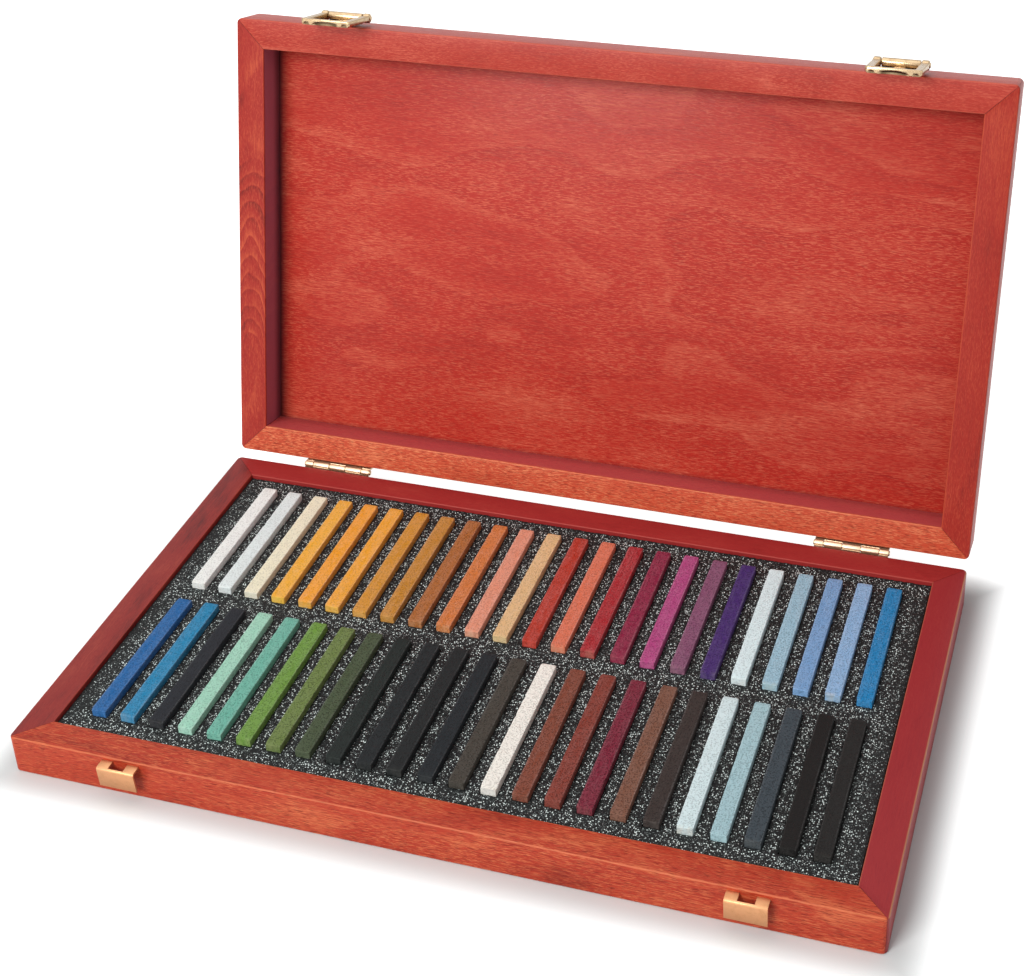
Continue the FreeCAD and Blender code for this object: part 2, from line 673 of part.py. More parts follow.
doc.recompute()
for item in doc.Objects:
    for state in ("Invalid", "Error"):
        if state in item.State:
            raise RuntimeError(f"{item.Name} did not build: {item.State}")
for item in nodes:
    if item.Shape.isNull() or not item.Shape.isValid():
        raise RuntimeError(f"{item.Label} has no valid shape")

os.makedirs("parts", exist_ok=True)
for item in nodes:
    item.Shape.exportStep(os.path.join("parts", f"{item.Label}.step"))
    print(item.Label, len(item.Shape.Solids), round(item.Shape.Volume, 1))
print("nodes:", len(nodes))
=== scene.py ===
import json
import math
import random

import bmesh
import bpy
from mathutils import Matrix, Vector, noise


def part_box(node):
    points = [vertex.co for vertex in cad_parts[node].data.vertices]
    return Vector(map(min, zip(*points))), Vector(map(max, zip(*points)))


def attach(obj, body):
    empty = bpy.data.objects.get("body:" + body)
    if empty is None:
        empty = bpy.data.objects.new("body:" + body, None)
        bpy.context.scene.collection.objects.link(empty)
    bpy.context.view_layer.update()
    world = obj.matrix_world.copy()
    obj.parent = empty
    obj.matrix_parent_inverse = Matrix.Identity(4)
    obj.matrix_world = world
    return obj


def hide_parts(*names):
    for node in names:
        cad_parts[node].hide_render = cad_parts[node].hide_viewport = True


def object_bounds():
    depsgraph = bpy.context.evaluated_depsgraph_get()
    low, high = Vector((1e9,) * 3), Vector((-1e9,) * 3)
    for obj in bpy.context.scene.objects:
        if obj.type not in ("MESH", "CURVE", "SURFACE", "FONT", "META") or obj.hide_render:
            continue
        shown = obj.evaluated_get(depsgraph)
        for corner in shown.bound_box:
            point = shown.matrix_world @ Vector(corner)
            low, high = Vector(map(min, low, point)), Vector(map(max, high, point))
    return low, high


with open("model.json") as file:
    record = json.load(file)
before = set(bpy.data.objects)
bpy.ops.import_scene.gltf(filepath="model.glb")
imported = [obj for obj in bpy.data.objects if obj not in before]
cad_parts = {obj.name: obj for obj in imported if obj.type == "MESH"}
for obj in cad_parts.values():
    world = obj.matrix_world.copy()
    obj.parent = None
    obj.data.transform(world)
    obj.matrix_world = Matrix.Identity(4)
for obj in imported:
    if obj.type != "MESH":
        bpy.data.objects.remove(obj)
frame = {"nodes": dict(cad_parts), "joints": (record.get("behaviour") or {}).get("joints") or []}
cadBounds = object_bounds()

mm = 0.001
full = 2 * math.pi

# The lid's pieces are built with the case shut, and lidTurn then opens them to where the frame has them.
lidJoint = next(joint for joint in frame["joints"] if joint["name"] == "lid_hinge")
hingeAxis = Vector(lidJoint["pos_m"])
openAngle = math.radians(lidJoint["range_deg"][1])
lidTurn = (Matrix.Translation(hingeAxis) @ Matrix.Rotation(-openAngle, 4, "X")
           @ Matrix.Translation(-hingeAxis))
lidShut = lidTurn.inverted()


def shutBox(node):  # box of a node of the lid or of a bail, with the case shut
    points = [lidShut @ vertex.co for vertex in frame["nodes"][node].data.vertices]
    low = Vector([min(point[axis] for point in points) for axis in range(3)])
    high = Vector([max(point[axis] for point in points) for axis in range(3)])
    return low, high


def paint(code):  # "#rrggbb" as a linear colour
    parts = [int(code[start:start + 2], 16) / 255 for start in (1, 3, 5)]
    return tuple(part / 12.92 if part <= 0.04045 else ((part + 0.055) / 1.055) ** 2.4 for part in parts)


# Node trees

class Wire:  # a node's output, whose operators add Math nodes
    def __init__(self, board, node, name=None):
        self.board, self.node = board, node
        found = [socket for socket in node.outputs
                 if not socket.is_unavailable and name in (None, socket.name)]
        self.socket = found[0] if found else None

    def out(self, name):
        return Wire(self.board, self.node, name)

    def math(self, operation, *others):
        values = dict(enumerate((self, *others)))
        return self.board.add("ShaderNodeMath", values, operation=operation)

    def __add__(self, other):
        return self.math("ADD", other)

    def __sub__(self, other):
        return self.math("SUBTRACT", other)

    def __rsub__(self, other):
        return self.board.add("ShaderNodeMath", {0: other, 1: self}, operation="SUBTRACT")

    def __mul__(self, other):
        return self.math("MULTIPLY", other)

    def __truediv__(self, other):
        return self.math("DIVIDE", other)

    def __pow__(self, other):
        return self.math("POWER", other)

    def __abs__(self):
        return self.math("ABSOLUTE")

    __radd__ = __add__
    __rmul__ = __mul__


class Board:  # a node tree, filled through add
    def __init__(self, tree):
        self.tree = tree

    def add(self, kind, values=None, **settings):  # values go to the node's inputs, settings to itself
        node = self.tree.nodes.new(kind)
        for name, value in settings.items():
            setattr(node, name, value)
        for key, value in (values or {}).items():
            self.feed(node, key, value)
        return Wire(self, node)

    def feed(self, node, key, value):
        if isinstance(key, int):
            socket = node.inputs[key]
        else:
            socket = next(s for s in node.inputs if key in (s.name, s.identifier) and not s.is_unavailable)
        if isinstance(value, Wire):
            self.tree.links.new(value.socket, socket)
        elif socket.type == "RGBA" and len(value) == 3:
            socket.default_value = (*value, 1.0)
        else:
            socket.default_value = value

    def vector(self, operation, first, second):
        return self.add("ShaderNodeVectorMath", {0: first, 1: second}, operation=operation)

    def noise(self, place, size, detail=2.0, roughness=0.5):  # size of the grains, or one for each axis
        sizes = size if isinstance(size, tuple) else (size,) * 3
        scaled = self.vector("MULTIPLY", place, [1 / each for each in sizes])
        return self.add("ShaderNodeTexNoise", {"Vector": scaled, "Scale": 1.0, "Detail": detail,
                                               "Roughness": roughness})

    def cells(self, place, size):
        return self.add("ShaderNodeTexVoronoi", {"Vector": place, "Scale": 1 / size})

    def band(self, value, low, high):  # 0 below low, 1 above high, smooth between
        return self.add("ShaderNodeMapRange", {"Value": value, "From Min": low, "From Max": high},
                        interpolation_type="SMOOTHSTEP")

    def blend(self, factor, first, second):
        return self.add("ShaderNodeMix", {"Factor_Float": factor, "A_Color": first, "B_Color": second},
                        data_type="RGBA")

    def split(self, place):
        parts = self.add("ShaderNodeSeparateXYZ", {"Vector": place})
        return parts.out("X"), parts.out("Y"), parts.out("Z")

    def join(self, x, y, z):
        return self.add("ShaderNodeCombineXYZ", {"X": x, "Y": y, "Z": z})


def newMaterial(name):
    material = bpy.data.materials.new(name)
    material.use_nodes = True
    material.node_tree.nodes.clear()
    return material, Board(material.node_tree)


def finishMaterial(board, colour, roughness, height, bumpDepth, fixed):
    normal = board.add("ShaderNodeBump", {"Strength": 1.0, "Distance": bumpDepth, "Height": height})
    shader = board.add("ShaderNodeBsdfPrincipled", {"Base Color": colour, "Roughness": roughness,
                                                    "Normal": normal, **fixed})
    board.add("ShaderNodeOutputMaterial", {"Surface": shader})


def piecePoint(board, onLid):  # Object coordinates, for the lid those of the shut case
    point = board.add("ShaderNodeTexCoord").out("Object")
    if not onLid:
        return point
    turned = board.add("ShaderNodeMapping", {"Vector": point, "Location": hingeAxis,
                                             "Rotation": (-openAngle, 0.0, 0.0)}, vector_type="TEXTURE")
    return board.vector("ADD", turned, hingeAxis)


# Wood: red stain under a thin satin lacquer. Each board has its own grain and shade.

woodGrain = {  # pairs of sizes are along and across the grain
    "bend": (90 * mm, 38 * mm), "bendBy": 9 * mm, "acrossSeed": 0.7,
    "figure": (210 * mm, 74 * mm), "figureRough": 0.45, "figureRings": 8.0, "ringLevel": 0.4,
    "cloud": (48 * mm, 15 * mm), "cloudRough": 0.55, "cloudShift": (0.4, 0.2, 0.1),
    "fibre": (11 * mm, 0.55 * mm), "fibreRough": 0.6, "fibreShade": 0.7,
    "fleck": (2.4 * mm, 0.34 * mm), "fleckRough": 0.6, "fleckShift": (0.31, 0.17, 0.05),
    "fleckBand": (0.50, 0.62), "fleckLeast": 0.45, "fleckPatch": (0.25, 0.65),
    "pore": (2.4 * mm, 0.36 * mm), "poreBand": (0.56, 0.68),
    "darkBand": (0.05, 0.50), "lightBand": (0.50, 1.05), "middleShade": 0.5,
    "roughness": 0.45, "roughFibre": 0.3, "roughPore": 0.15, "shine": 0.20, "coatRoughness": 0.25,
    "riseFibre": 0.8, "sinkPore": 0.7, "riseFleck": 0.2, "bumpDepth": 0.05 * mm,
}
woodEdges = {  # where the finish is rubbed off and painted lighter as a highlight, then the painted shade on the walls of the lid's hollow and the painted shadow on the panel beside them
    "arrisBand": (0.3 * mm, 0.85 * mm), "innerBand": (0.2 * mm, 0.7 * mm),
    "mitreReach": 0.28 * mm, "mitreShade": 0.25,
    "wallBand": (-0.6 * mm, -0.1 * mm), "rimBand": (0.3 * mm, 2 * mm), "deepShadeBand": (10 * mm, 18 * mm),
    "wallShadeShare": 0.85, "shadeColour": "#44222a", "shadowReach": 3.2 * mm, "shadowShare": 0.35, "leftShadowShare": 0.55,
    "mostShadow": 0.85, "faceBand": (0.3 * mm, 0.8 * mm),
}
plainBoard = {  # what a board has unless woodLooks says otherwise; worn is the outer and the inner arris, lightened partly for wear and partly as a painted highlight; wall and deep give the painted shade of the lid's inner walls
    "mitre": 0.35, "worn": (0.5, 0.5), "bareAndHighlight": None, "wall": "#9a4450", "deep": 0.3, "coat": 0.05,
    "streak": 1.0, "ringEdge": 0.80, "arcs": 0.0,
}
woodLooks = {  # three tones, then how strong clouds, growth rings, light flecks and dark pores are
    "base_front_rail": {"tones": ("#7a1e10", "#b43822", "#e07c50"), "figure": (0.8, 0.32, 0.65, 0.75),
                        "streak": 1.9},
    "base_back_rail": {"tones": ("#7a1a1c", "#9e2a2a", "#b84c40"), "figure": (0.5, 0.10, 0.20, 0.15)},
    "base_left_rail": {"tones": ("#521a1c", "#8c2c28", "#a8483a"), "figure": (1.3, 0.20, 0.22, 0.20)},
    # the right rail's pale outer arris is partly wear and partly a painted highlight
    "base_right_rail": {"tones": ("#80202a", "#9a2c30", "#ae423c"), "figure": (0.45, 0.08, 0.16, 0.12),
                        "mitre": 0.60, "bareAndHighlight": "#c98a62", "worn": (0.8, 0.3)},
    "lid_front_rail": {"tones": ("#8c241a", "#b03224", "#dc7058"), "figure": (0.8, 0.20, 0.45, 0.30),
                       "mitre": 0.85, "coat": 0.12, "worn": (0.35, 0.35)},
    # the wall and deep entries of the lid's rails give the painted shade of the inner walls of its hollow
    "lid_back_rail": {"tones": ("#902a18", "#cc4f34", "#f29a6b"), "figure": (0.6, 0.15, 0.70, 0.80),
                      "mitre": 0.40, "wall": "#b84a50", "worn": (0.35, 0.35), "streak": 1.5},
    "lid_left_rail": {"tones": ("#7c1c18", "#a42a22", "#d25e3e"), "figure": (0.8, 0.25, 0.36, 0.25),
                      "mitre": 0.85, "arcs": 0.50, "wall": "#a46074", "deep": 0.8, "worn": (0.25, 0.25)},
    "lid_right_rail": {"tones": ("#82201a", "#a42a20", "#c65236"), "figure": (0.7, 0.20, 0.40, 0.35),
                       "mitre": 0.50, "worn": (0.15, 0.8)},
    "lid_panel": {"tones": ("#8c1f1c", "#b72f24", "#e0785b"), "figure": (0.36, 0.24, 0.52, 0.40),
                  "streak": 1.6, "ringEdge": 0.90},
    "base_bottom_panel": {"tones": ("#9b3a2b", "#c05a42", "#d98060"), "figure": (0.8, 0.40, 0.40, 0.40)},
}
arcLook = {  # pointed arcs in the grain, steeper the further they are from their start
    "middle": -192.5 * mm, "start": -40 * mm, "end": 74 * mm, "pitch": 8.5 * mm,
    "steep": 2500.0, "steeper": 330000.0, "wander": (30 * mm, 14 * mm), "wanderBy": 1.6, "driftBy": 2.4,
    "fadeIn": (-14 * mm, 6 * mm), "fadeOut": 30 * mm, "edgeBand": (0.84, 1.0), "level": 0.45,
}


def strands(board, place, sizes, detail=2.0, roughness=0.5):  # noise drawn out along the grain
    along, across = sizes
    return board.noise(place, (along, across, across), detail, roughness)


def grainArcs(board, place, along, across, drift):
    look = arcLook
    start, end = look["start"], look["end"]
    side = across - look["middle"]
    steep = (along - start).math("MAXIMUM", 0.0) * look["steeper"] + look["steep"]
    wander = strands(board, place, look["wander"]) - 0.5
    phase = along / look["pitch"] - side * side * steep + drift * look["driftBy"] + wander * look["wanderBy"]
    curve = phase.math("FRACT")
    begun = board.band(along - start, *look["fadeIn"])
    zone = begun * (1 - board.band(along, end - look["fadeOut"], end)) * (wander + 1.0)
    return (curve * (1 - board.band(curve, *look["edgeBand"])) - look["level"]) * zone


def railEdges(board, colour, look, place, outer, alongX, onLid):
    # worn arrises, lightened partly for wear and partly as a painted highlight; painted shade on the walls of
    # the lid's hollow; and the dark seams of the mitres
    edge, (x, y, z), (halfWidth, halfDepth, rim) = woodEdges, place, outer
    outX, outY = halfWidth - abs(x), halfDepth - abs(y)
    toOuter = outY if alongX else outX
    toInner = toOuter - railLook["width"]
    level = abs(z - rim)
    if onLid:
        # painted shade: the lid's inner walls take a darker, cooler colour, darker still deep down by the
        # panel
        wall = board.band(toInner, *edge["wallBand"]) * board.band(level, *edge["rimBand"])
        shadedWall = board.blend(board.band(level, *edge["deepShadeBand"]) * look["deep"], paint(look["wall"]),
                              paint(edge["shadeColour"]))
        colour = board.blend(wall * edge["wallShadeShare"], colour, shadedWall)
    # the arrises are lighter, partly rubbed wear and partly a painted highlight
    rubbedAndHighlit = [(1 - board.band((aside * aside + level * level).math("SQRT"), *edge[band])) * worn
              for aside, band, worn in zip((toOuter, toInner), ("arrisBand", "innerBand"), look["worn"])]
    mask = (rubbedAndHighlit[0] + rubbedAndHighlit[1]).math("MINIMUM", 1.0)
    colour = board.blend(mask, colour, paint(look["bareAndHighlight"] or look["tones"][-1]))
    seam = 1 - board.band(abs(outX - outY), 0.0, edge["mitreReach"])
    return board.blend(seam * look["mitre"], colour,
                       tuple(part * edge["mitreShade"] for part in paint(look["tones"][0])))


def paintedPanelShadow(board, colour, place, well):  # painted shadow on the panel along the walls of the hollow, strongest along the left wall
    edge, (x, y, z), (wellX, wellY, face) = woodEdges, place, well
    toWall = (wellX - abs(x)).math("MINIMUM", wellY - abs(y))
    near = 1 - board.band(toWall, 0.0, edge["shadowReach"])
    nearLeft = 1 - board.band(x + wellX, 0.0, edge["shadowReach"] * 2)
    inside = 1 - board.band(z - face, *edge["faceBand"])
    shadowed = (near * edge["shadowShare"] + nearLeft * edge["leftShadowShare"]) * inside
    return board.blend(shadowed.math("MINIMUM", edge["mostShadow"]), colour, paint(edge["shadeColour"]))


def stainedWood(name, alongX, onLid, seed, outer, well=None):
    # outer holds the half width and half depth of the case and the height of the rim, and well those of
    # the lid's hollow and the height of the panel's face
    material, board = newMaterial(f"stained_wood_{name}")
    look, grain = {**plainBoard, **woodLooks[name]}, woodGrain
    dark, body, light = (paint(code) for code in look["tones"])
    clouds, rings, flecks, pores = look["figure"]
    place = x, y, z = board.split(piecePoint(board, onLid))
    along, across = (x, y) if alongX else (y, x)
    farAlong, farAcross = along + seed, across + seed * grain["acrossSeed"]
    straight = board.join(farAlong, farAcross, z)
    drift = strands(board, straight, grain["bend"]) - 0.5
    bent = board.join(farAlong, farAcross + drift * grain["bendBy"], z + drift * grain["bendBy"])
    figure = strands(board, bent, grain["figure"], 2.0, grain["figureRough"])
    ring = (figure * grain["figureRings"]).math("FRACT")
    ring = ring * (1 - board.band(ring, look["ringEdge"], 1.0))
    clouded = board.vector("ADD", bent, grain["cloudShift"])
    cloud = strands(board, clouded, grain["cloud"], 3.0, grain["cloudRough"]) - 0.5
    fibre = strands(board, bent, grain["fibre"], 3.0, grain["fibreRough"]) - 0.5
    fleckSize, poreSize = ((size[0] * look["streak"], size[1]) for size in (grain["fleck"], grain["pore"]))
    flecked = board.vector("ADD", bent, grain["fleckShift"])
    fleck = board.band(strands(board, flecked, fleckSize, 2.0, grain["fleckRough"]), *grain["fleckBand"])
    patch = board.band(cloud + figure, *grain["fleckPatch"])
    fleckMask = fleck * (grain["fleckLeast"] + (1 - grain["fleckLeast"]) * patch)
    poreMask = board.band(strands(board, bent, poreSize, 1.0), *grain["poreBand"]) * pores
    shade = (cloud * clouds + (ring - grain["ringLevel"]) * rings + fibre * grain["fibreShade"]
             + grain["middleShade"])
    if look["arcs"]:
        shade = shade + grainArcs(board, straight, along, across, drift) * look["arcs"]
    deep = board.blend(board.band(shade, *grain["darkBand"]), dark, body)
    mixed = board.blend(board.band(shade, *grain["lightBand"]), deep, light)
    colour = board.blend(poreMask, board.blend(fleckMask * flecks, mixed, light), dark)
    if outer:
        colour = railEdges(board, colour, look, place, outer, alongX, onLid)
    # painted shadow on the lid's panel beside the walls of the hollow
    if well:
        colour = paintedPanelShadow(board, colour, place, well)
    roughness = grain["roughness"] + fibre * grain["roughFibre"] + poreMask * grain["roughPore"]
    height = fibre * grain["riseFibre"] - poreMask * grain["sinkPore"] + fleckMask * grain["riseFleck"]
    finishMaterial(board, colour, roughness, height, grain["bumpDepth"],
                   {"Coat Weight": look["coat"], "Coat Roughness": grain["coatRoughness"],
                    "Specular IOR Level": grain["shine"]})
    return material


# Foam: black, with fine open cells; the glints of their cut walls are painted on as pale dots.

foamLook = {
    "spacing": 0.86 * mm, "jitterUp": 0.20 * mm, "jitterSide": 0.16 * mm, "edgeDrop": 0.45 * mm,
    "rimDrop": 1.7 * mm, "wallLayers": 2, "slotPlay": 0.3 * mm, "sharpAngle": 12,
    "cell": 0.90 * mm, "fineCell": 0.50 * mm, "fineShift": (0.2, 0.1, 0.0), "patch": 9 * mm,
    "glint": ((0.40, 0.74), (0.18, 0.42)), "glintStrength": 1.9,  # which cells, and how far round each
    "spark": ((0.62, 0.95), (0.16, 0.50)), "sparkStrength": 0.55,
    "patchLeast": 0.22, "patchGain": 1.40, "wallBand": (0.20, 0.80),
    "besideBand": (0.3 * mm, 2.6 * mm), "besideShade": 0.55,
    "rimBand": (0.9 * mm, 3.2 * mm), "rimShade": 0.9,
    # the last colour is that of the painted glints
    "pit": "#060808", "wall": "#15191a", "paintedGlint": "#ecf8f5",
    "roughness": 0.60, "litGloss": 0.22, "shine": 0.25,
    "fineRise": 0.6, "cellRise": 0.9, "bumpDepth": 0.22 * mm,
}


def paintedGlints(board, cells, chosen, reach):  # painted glints: cells picked by chance, pale about their middle
    pick = board.split(cells.out("Color"))[0]
    return board.band(pick, *chosen) * (1 - board.band(cells.out("Distance"), *reach))


def foamMaterial(pocket, pitch, play, rim):
    # pocket is the box of the first stick of a row and rim the corner of the foam; beside the pockets
    # and along the rails shade is painted on: the glints are dimmed, and at the rails the pits take the
    # walls' tone
    look, (low, high) = foamLook, pocket
    material, board = newMaterial("black_foam")
    point = piecePoint(board, False)
    cell = board.cells(point, look["cell"])
    fine = board.cells(board.vector("ADD", point, look["fineShift"]), look["fineCell"])
    patch = board.noise(point, look["patch"])
    # painted glints: pale dots in the colour stand for light caught by the cut cell walls
    bright = (paintedGlints(board, cell, *look["glint"]) * look["glintStrength"]
              + paintedGlints(board, fine, *look["spark"]) * look["sparkStrength"])
    x, y = board.split(point)[:2]
    halfPocket = (high.x - low.x) / 2 + play
    phase = ((x - (low.x + high.x) / 2) / pitch + (sticksInRow + 0.5)).math("FRACT")
    aside = abs(phase - 0.5) * pitch - halfPocket
    along = abs(abs(y) - abs(low.y + high.y) / 2) - (high.y - low.y) / 2 - play
    # painted shade beside the pockets and along the rails
    beside = 1 - board.band(aside.math("MAXIMUM", along), *look["besideBand"])
    toRim = (rim.x - abs(x)).math("MINIMUM", rim.y - abs(y))
    atRim = 1 - board.band(toRim, *look["rimBand"])
    paintedGlint = bright * (look["patchLeast"] + patch * look["patchGain"]) * (1 - beside * look["besideShade"])
    paintedGlint = (paintedGlint * (1 - atRim * look["rimShade"])).math("MINIMUM", 1.0)
    shut = board.band(fine.out("Distance"), *look["wallBand"]).math("MAXIMUM", atRim)
    base = board.blend(shut, paint(look["wall"]), paint(look["pit"]))
    colour = board.blend(paintedGlint, base, paint(look["paintedGlint"]))
    height = fine.out("Distance") * look["fineRise"] + cell.out("Distance") * look["cellRise"]
    finishMaterial(board, colour, look["roughness"] - paintedGlint * look["litGloss"], height, look["bumpDepth"],
                   {"Specular IOR Level": look["shine"]})
    return material


# Brass: polished on the catches, pins and screws, paler and duller on the leaves, satin on the keepers.

brassLooks = {
    "polished": {"tint": "#bea482", "stain": "#86694c", "roughness": 0.26, "grain": 0.05},
    "rolled": {"tint": "#dcc6a8", "stain": "#ba9c7c", "roughness": 0.42, "grain": 0.06},
    "satin": {"tint": "#d09a70", "stain": "#b8865a", "roughness": 0.50, "grain": 0.10},
}
brassGrain = {
    # the first colour is the painted shade in a bail's pockets
    "pocket": "#4a3a28", "tarnish": 4 * mm, "tarnishRough": 0.6, "tarnishBand": (0.42, 0.75),
    "tarnishStrength": 0.45, "brushed": (3.0 * mm, 0.14 * mm, 0.14 * mm), "speck": 0.5 * mm,
    "speckBand": (0.62, 0.75), "speckStrength": 0.3, "roughTarnish": 0.12, "roughSpeck": 0.1,
    "riseBrushed": 0.4, "riseTarnish": 0.3, "sinkSpeck": 0.3, "bumpDepth": 0.004 * mm,
}


def brassMaterial(kind, pocketShade=None):  # the second argument, a mask, paints shade into a bail's pockets
    look, grain = brassLooks[kind], brassGrain
    tint, stain = paint(look["tint"]), paint(look["stain"])
    material, board = newMaterial(f"brass_{kind}{'_patina' if pocketShade else ''}")
    point = piecePoint(board, pocketShade is not None)
    tarnish = board.noise(point, grain["tarnish"], 3.0, grain["tarnishRough"])
    brushed = board.noise(point, grain["brushed"])
    specks = board.band(board.noise(point, grain["speck"]), *grain["speckBand"])
    tarnished = board.band(tarnish, *grain["tarnishBand"]) * grain["tarnishStrength"]
    colour = board.blend(specks * grain["speckStrength"], board.blend(tarnished, tint, stain), stain)
    # painted shade in a bail's pockets
    if pocketShade:
        colour = board.blend(pocketShade(board, point), colour, paint(grain["pocket"]))
    roughness = (look["roughness"] + (tarnish - 0.5) * grain["roughTarnish"]
                 + (brushed - 0.5) * look["grain"] + specks * grain["roughSpeck"])
    height = brushed * grain["riseBrushed"] + tarnish * grain["riseTarnish"] - specks * grain["sinkSpeck"]
    finishMaterial(board, colour, roughness, height, grain["bumpDepth"], {"Metallic": 1.0})
    return material


# Chalk: matt, a little mottled, with rubbed pits, paler dust and broken ends, and arrises made paler partly
# for wear and partly as a painted highlight.

chalkLook = {
    "mottle": (3 * mm, 10 * mm, 5 * mm), "mottleBand": (0.30, 0.62), "streak": (0.5 * mm, 26 * mm, 0.5 * mm),
    "streakBand": (0.52, 0.70), "shadeStrength": 0.22, "grain": 0.22 * mm,
    "pit": 0.75 * mm, "pitBand": (0.53, 0.62), "pitDark": 1.0, "pitLight": 0.68, "pitShade": 0.45,
    "scuff": (0.91 * mm, 2.86 * mm, 1.3 * mm), "scuffRough": 0.7, "scuffBand": (0.56, 0.68),
    "scuffStrength": 0.35,
    "dust": 1.6 * mm, "dustRough": 0.75, "dustBand": (0.50, 0.62), "dustStrength": 0.30, "paler": 0.24,
    "arrisBand": (-0.75 * mm, -0.25 * mm), "rubBand": (0.85, 1.15), "arrisWearAndHighlight": 0.42, "arrisLighterShare": 0.35,
    "breakBand": (0.15 * mm, 0.6 * mm), "breakGrain": (0.7, 1.2), "broken": 0.6,
    "endBand": (0.3 * mm, 2.4 * mm), "endGrain": (0.85, 1.2), "crumb": (0.80, 0.66, 0.44), "crumbShare": 0.55,
    "roughness": 0.76, "roughDust": 0.1, "smoothPit": 0.1, "shine": 0.22,
    "riseGrain": 0.4, "riseMottle": 0.5, "riseStreak": 0.35, "bumpDepth": 0.20 * mm,
    "lightPower": 0.7, "dimLeast": 0.25, "freshGain": 1.5, "freshLift": 0.04, "seedSteps": (0.013, 0.029),
}


def chalkMaterial(name, code, seed, low, high, endDust):
    # low and high are the corners of the stick's own box
    material, board = newMaterial(name)
    look, body = chalkLook, paint(code)
    light = max(body) ** look["lightPower"]
    dim = look["dimLeast"] + (1 - look["dimLeast"]) * light
    dark = tuple(part * look["pitShade"] for part in body)
    # worn is the paler colour of the arrises, partly wear and partly a painted highlight
    pale, worn = (tuple(part + (1 - part) * share for part in body)
                  for share in (look["paler"] * light, look["arrisLighterShare"] * dim))
    fresh = tuple(min(1.0, part * look["freshGain"] + look["freshLift"]) for part in body)
    share = look["crumbShare"]
    crumbs = tuple((1 - share) * part + share * tint * dim for part, tint in zip(body, look["crumb"]))
    own = piecePoint(board, False)
    point = board.vector("ADD", own, (*(seed * step for step in look["seedSteps"]), 0.0))
    mottle = board.noise(point, look["mottle"], 3.0)
    streak = board.noise(point, look["streak"])
    grain = board.noise(point, look["grain"], 1.0)
    pits = board.band(board.noise(point, look["pit"]), *look["pitBand"])
    scuffs = board.band(board.noise(point, look["scuff"], 3.0, look["scuffRough"]), *look["scuffBand"])
    dust = board.band(board.noise(point, look["dust"], 4.0, look["dustRough"]), *look["dustBand"])
    x, y, z = board.split(own)
    aside = abs(x - (low.x + high.x) / 2) - (high.x - low.x) / 2
    arris = board.band(aside, *look["arrisBand"]) * board.band(z - high.z, *look["arrisBand"])
    shading = board.band(mottle, *look["mottleBand"]) + board.band(streak, *look["streakBand"])
    shaded = board.blend(shading * look["shadeStrength"], body, pale)
    dusted = board.blend(dust * look["dustStrength"] + scuffs * look["scuffStrength"], shaded, pale)
    # the arrises are paler, partly rubbed wear and partly a painted highlight
    rub = arris * board.band(grain + streak, *look["rubBand"]) * look["arrisWearAndHighlight"]
    rubbedAndHighlit = board.blend(rub, dusted, worn)
    pitted = board.blend(pits * (look["pitDark"] - look["pitLight"] * light), rubbedAndHighlit, dark)
    toEnd = (y - low.y).math("MINIMUM", high.y - y)
    broken = (1 - board.band(toEnd, *look["breakBand"])) * board.band(grain + mottle, *look["breakGrain"])
    snapped = board.blend(broken * look["broken"], pitted, fresh)
    nearEnd = 1 - board.band(y - low.y, *look["endBand"])
    ending = nearEnd * board.band(grain + mottle, *look["endGrain"])
    colour = board.blend(ending * endDust, snapped, crumbs)
    roughness = look["roughness"] + dust * look["roughDust"] - pits * look["smoothPit"]
    height = grain * look["riseGrain"] - pits + mottle * look["riseMottle"] + streak * look["riseStreak"]
    finishMaterial(board, colour, roughness, height, look["bumpDepth"], {"Specular IOR Level": look["shine"]})
    return material


# Mesh tools

def linked(name, data):  # a new object in the scene
    made = bpy.data.objects.new(name, data)
    bpy.context.scene.collection.objects.link(made)
    return made


def meshFrom(name, build):
    mesh = bpy.data.meshes.new(name)
    shape = bmesh.new()
    build(shape)
    shape.normal_update()
    shape.to_mesh(mesh)
    shape.free()
    return mesh


def evaluated(mesh, kind, settings, inputs=None):  # the mesh after one modifier
    holder = linked("holder", mesh)
    modifier = holder.modifiers.new(kind.lower(), kind)
    for name, value in settings.items():
        setattr(modifier, name, value)
    for key, value in (inputs or {}).items():
        modifier[key] = value
    bpy.context.view_layer.update()
    made = bpy.data.meshes.new_from_object(holder.evaluated_get(bpy.context.evaluated_depsgraph_get()))
    holder.modifiers.remove(modifier)
    bpy.data.objects.remove(holder)
    return made


def eased(mesh, width, segments=2, angle=30):
    return evaluated(mesh, "BEVEL", {"width": width, "segments": segments, "limit_method": "ANGLE",
                                     "angle_limit": math.radians(angle), "harden_normals": False})


def carved(mesh, tools, operation="DIFFERENCE"):
    for tool in tools:
        cutter = linked("cutter", tool)
        mesh = evaluated(mesh, "BOOLEAN", {"object": cutter, "operation": operation, "solver": "EXACT"})
        bpy.data.objects.remove(cutter)
    return mesh


def block(low, high):
    def build(shape):
        bmesh.ops.create_cube(shape, size=1.0)
        for vertex in shape.verts:
            vertex.co = Vector([low[i] if vertex.co[i] < 0 else high[i] for i in range(3)])
    return meshFrom("block", build)


def prism(outline, start, end, axis="X"):  # outline points are the other two axes in order
    order = {"X": (2, 0, 1), "Y": (0, 2, 1), "Z": (0, 1, 2)}[axis]

    def build(shape):
        rings = [[shape.verts.new([(point[0], point[1], level)[k] for k in order]) for point in outline]
                 for level in (start, end)]
        count = len(outline)
        for i in range(count):
            j = (i + 1) % count
            shape.faces.new((rings[0][i], rings[0][j], rings[1][j], rings[1][i]))
        shape.faces.new(rings[0])
        shape.faces.new(list(reversed(rings[1])))
        bmesh.ops.recalc_face_normals(shape, faces=shape.faces)
    return meshFrom("prism", build)


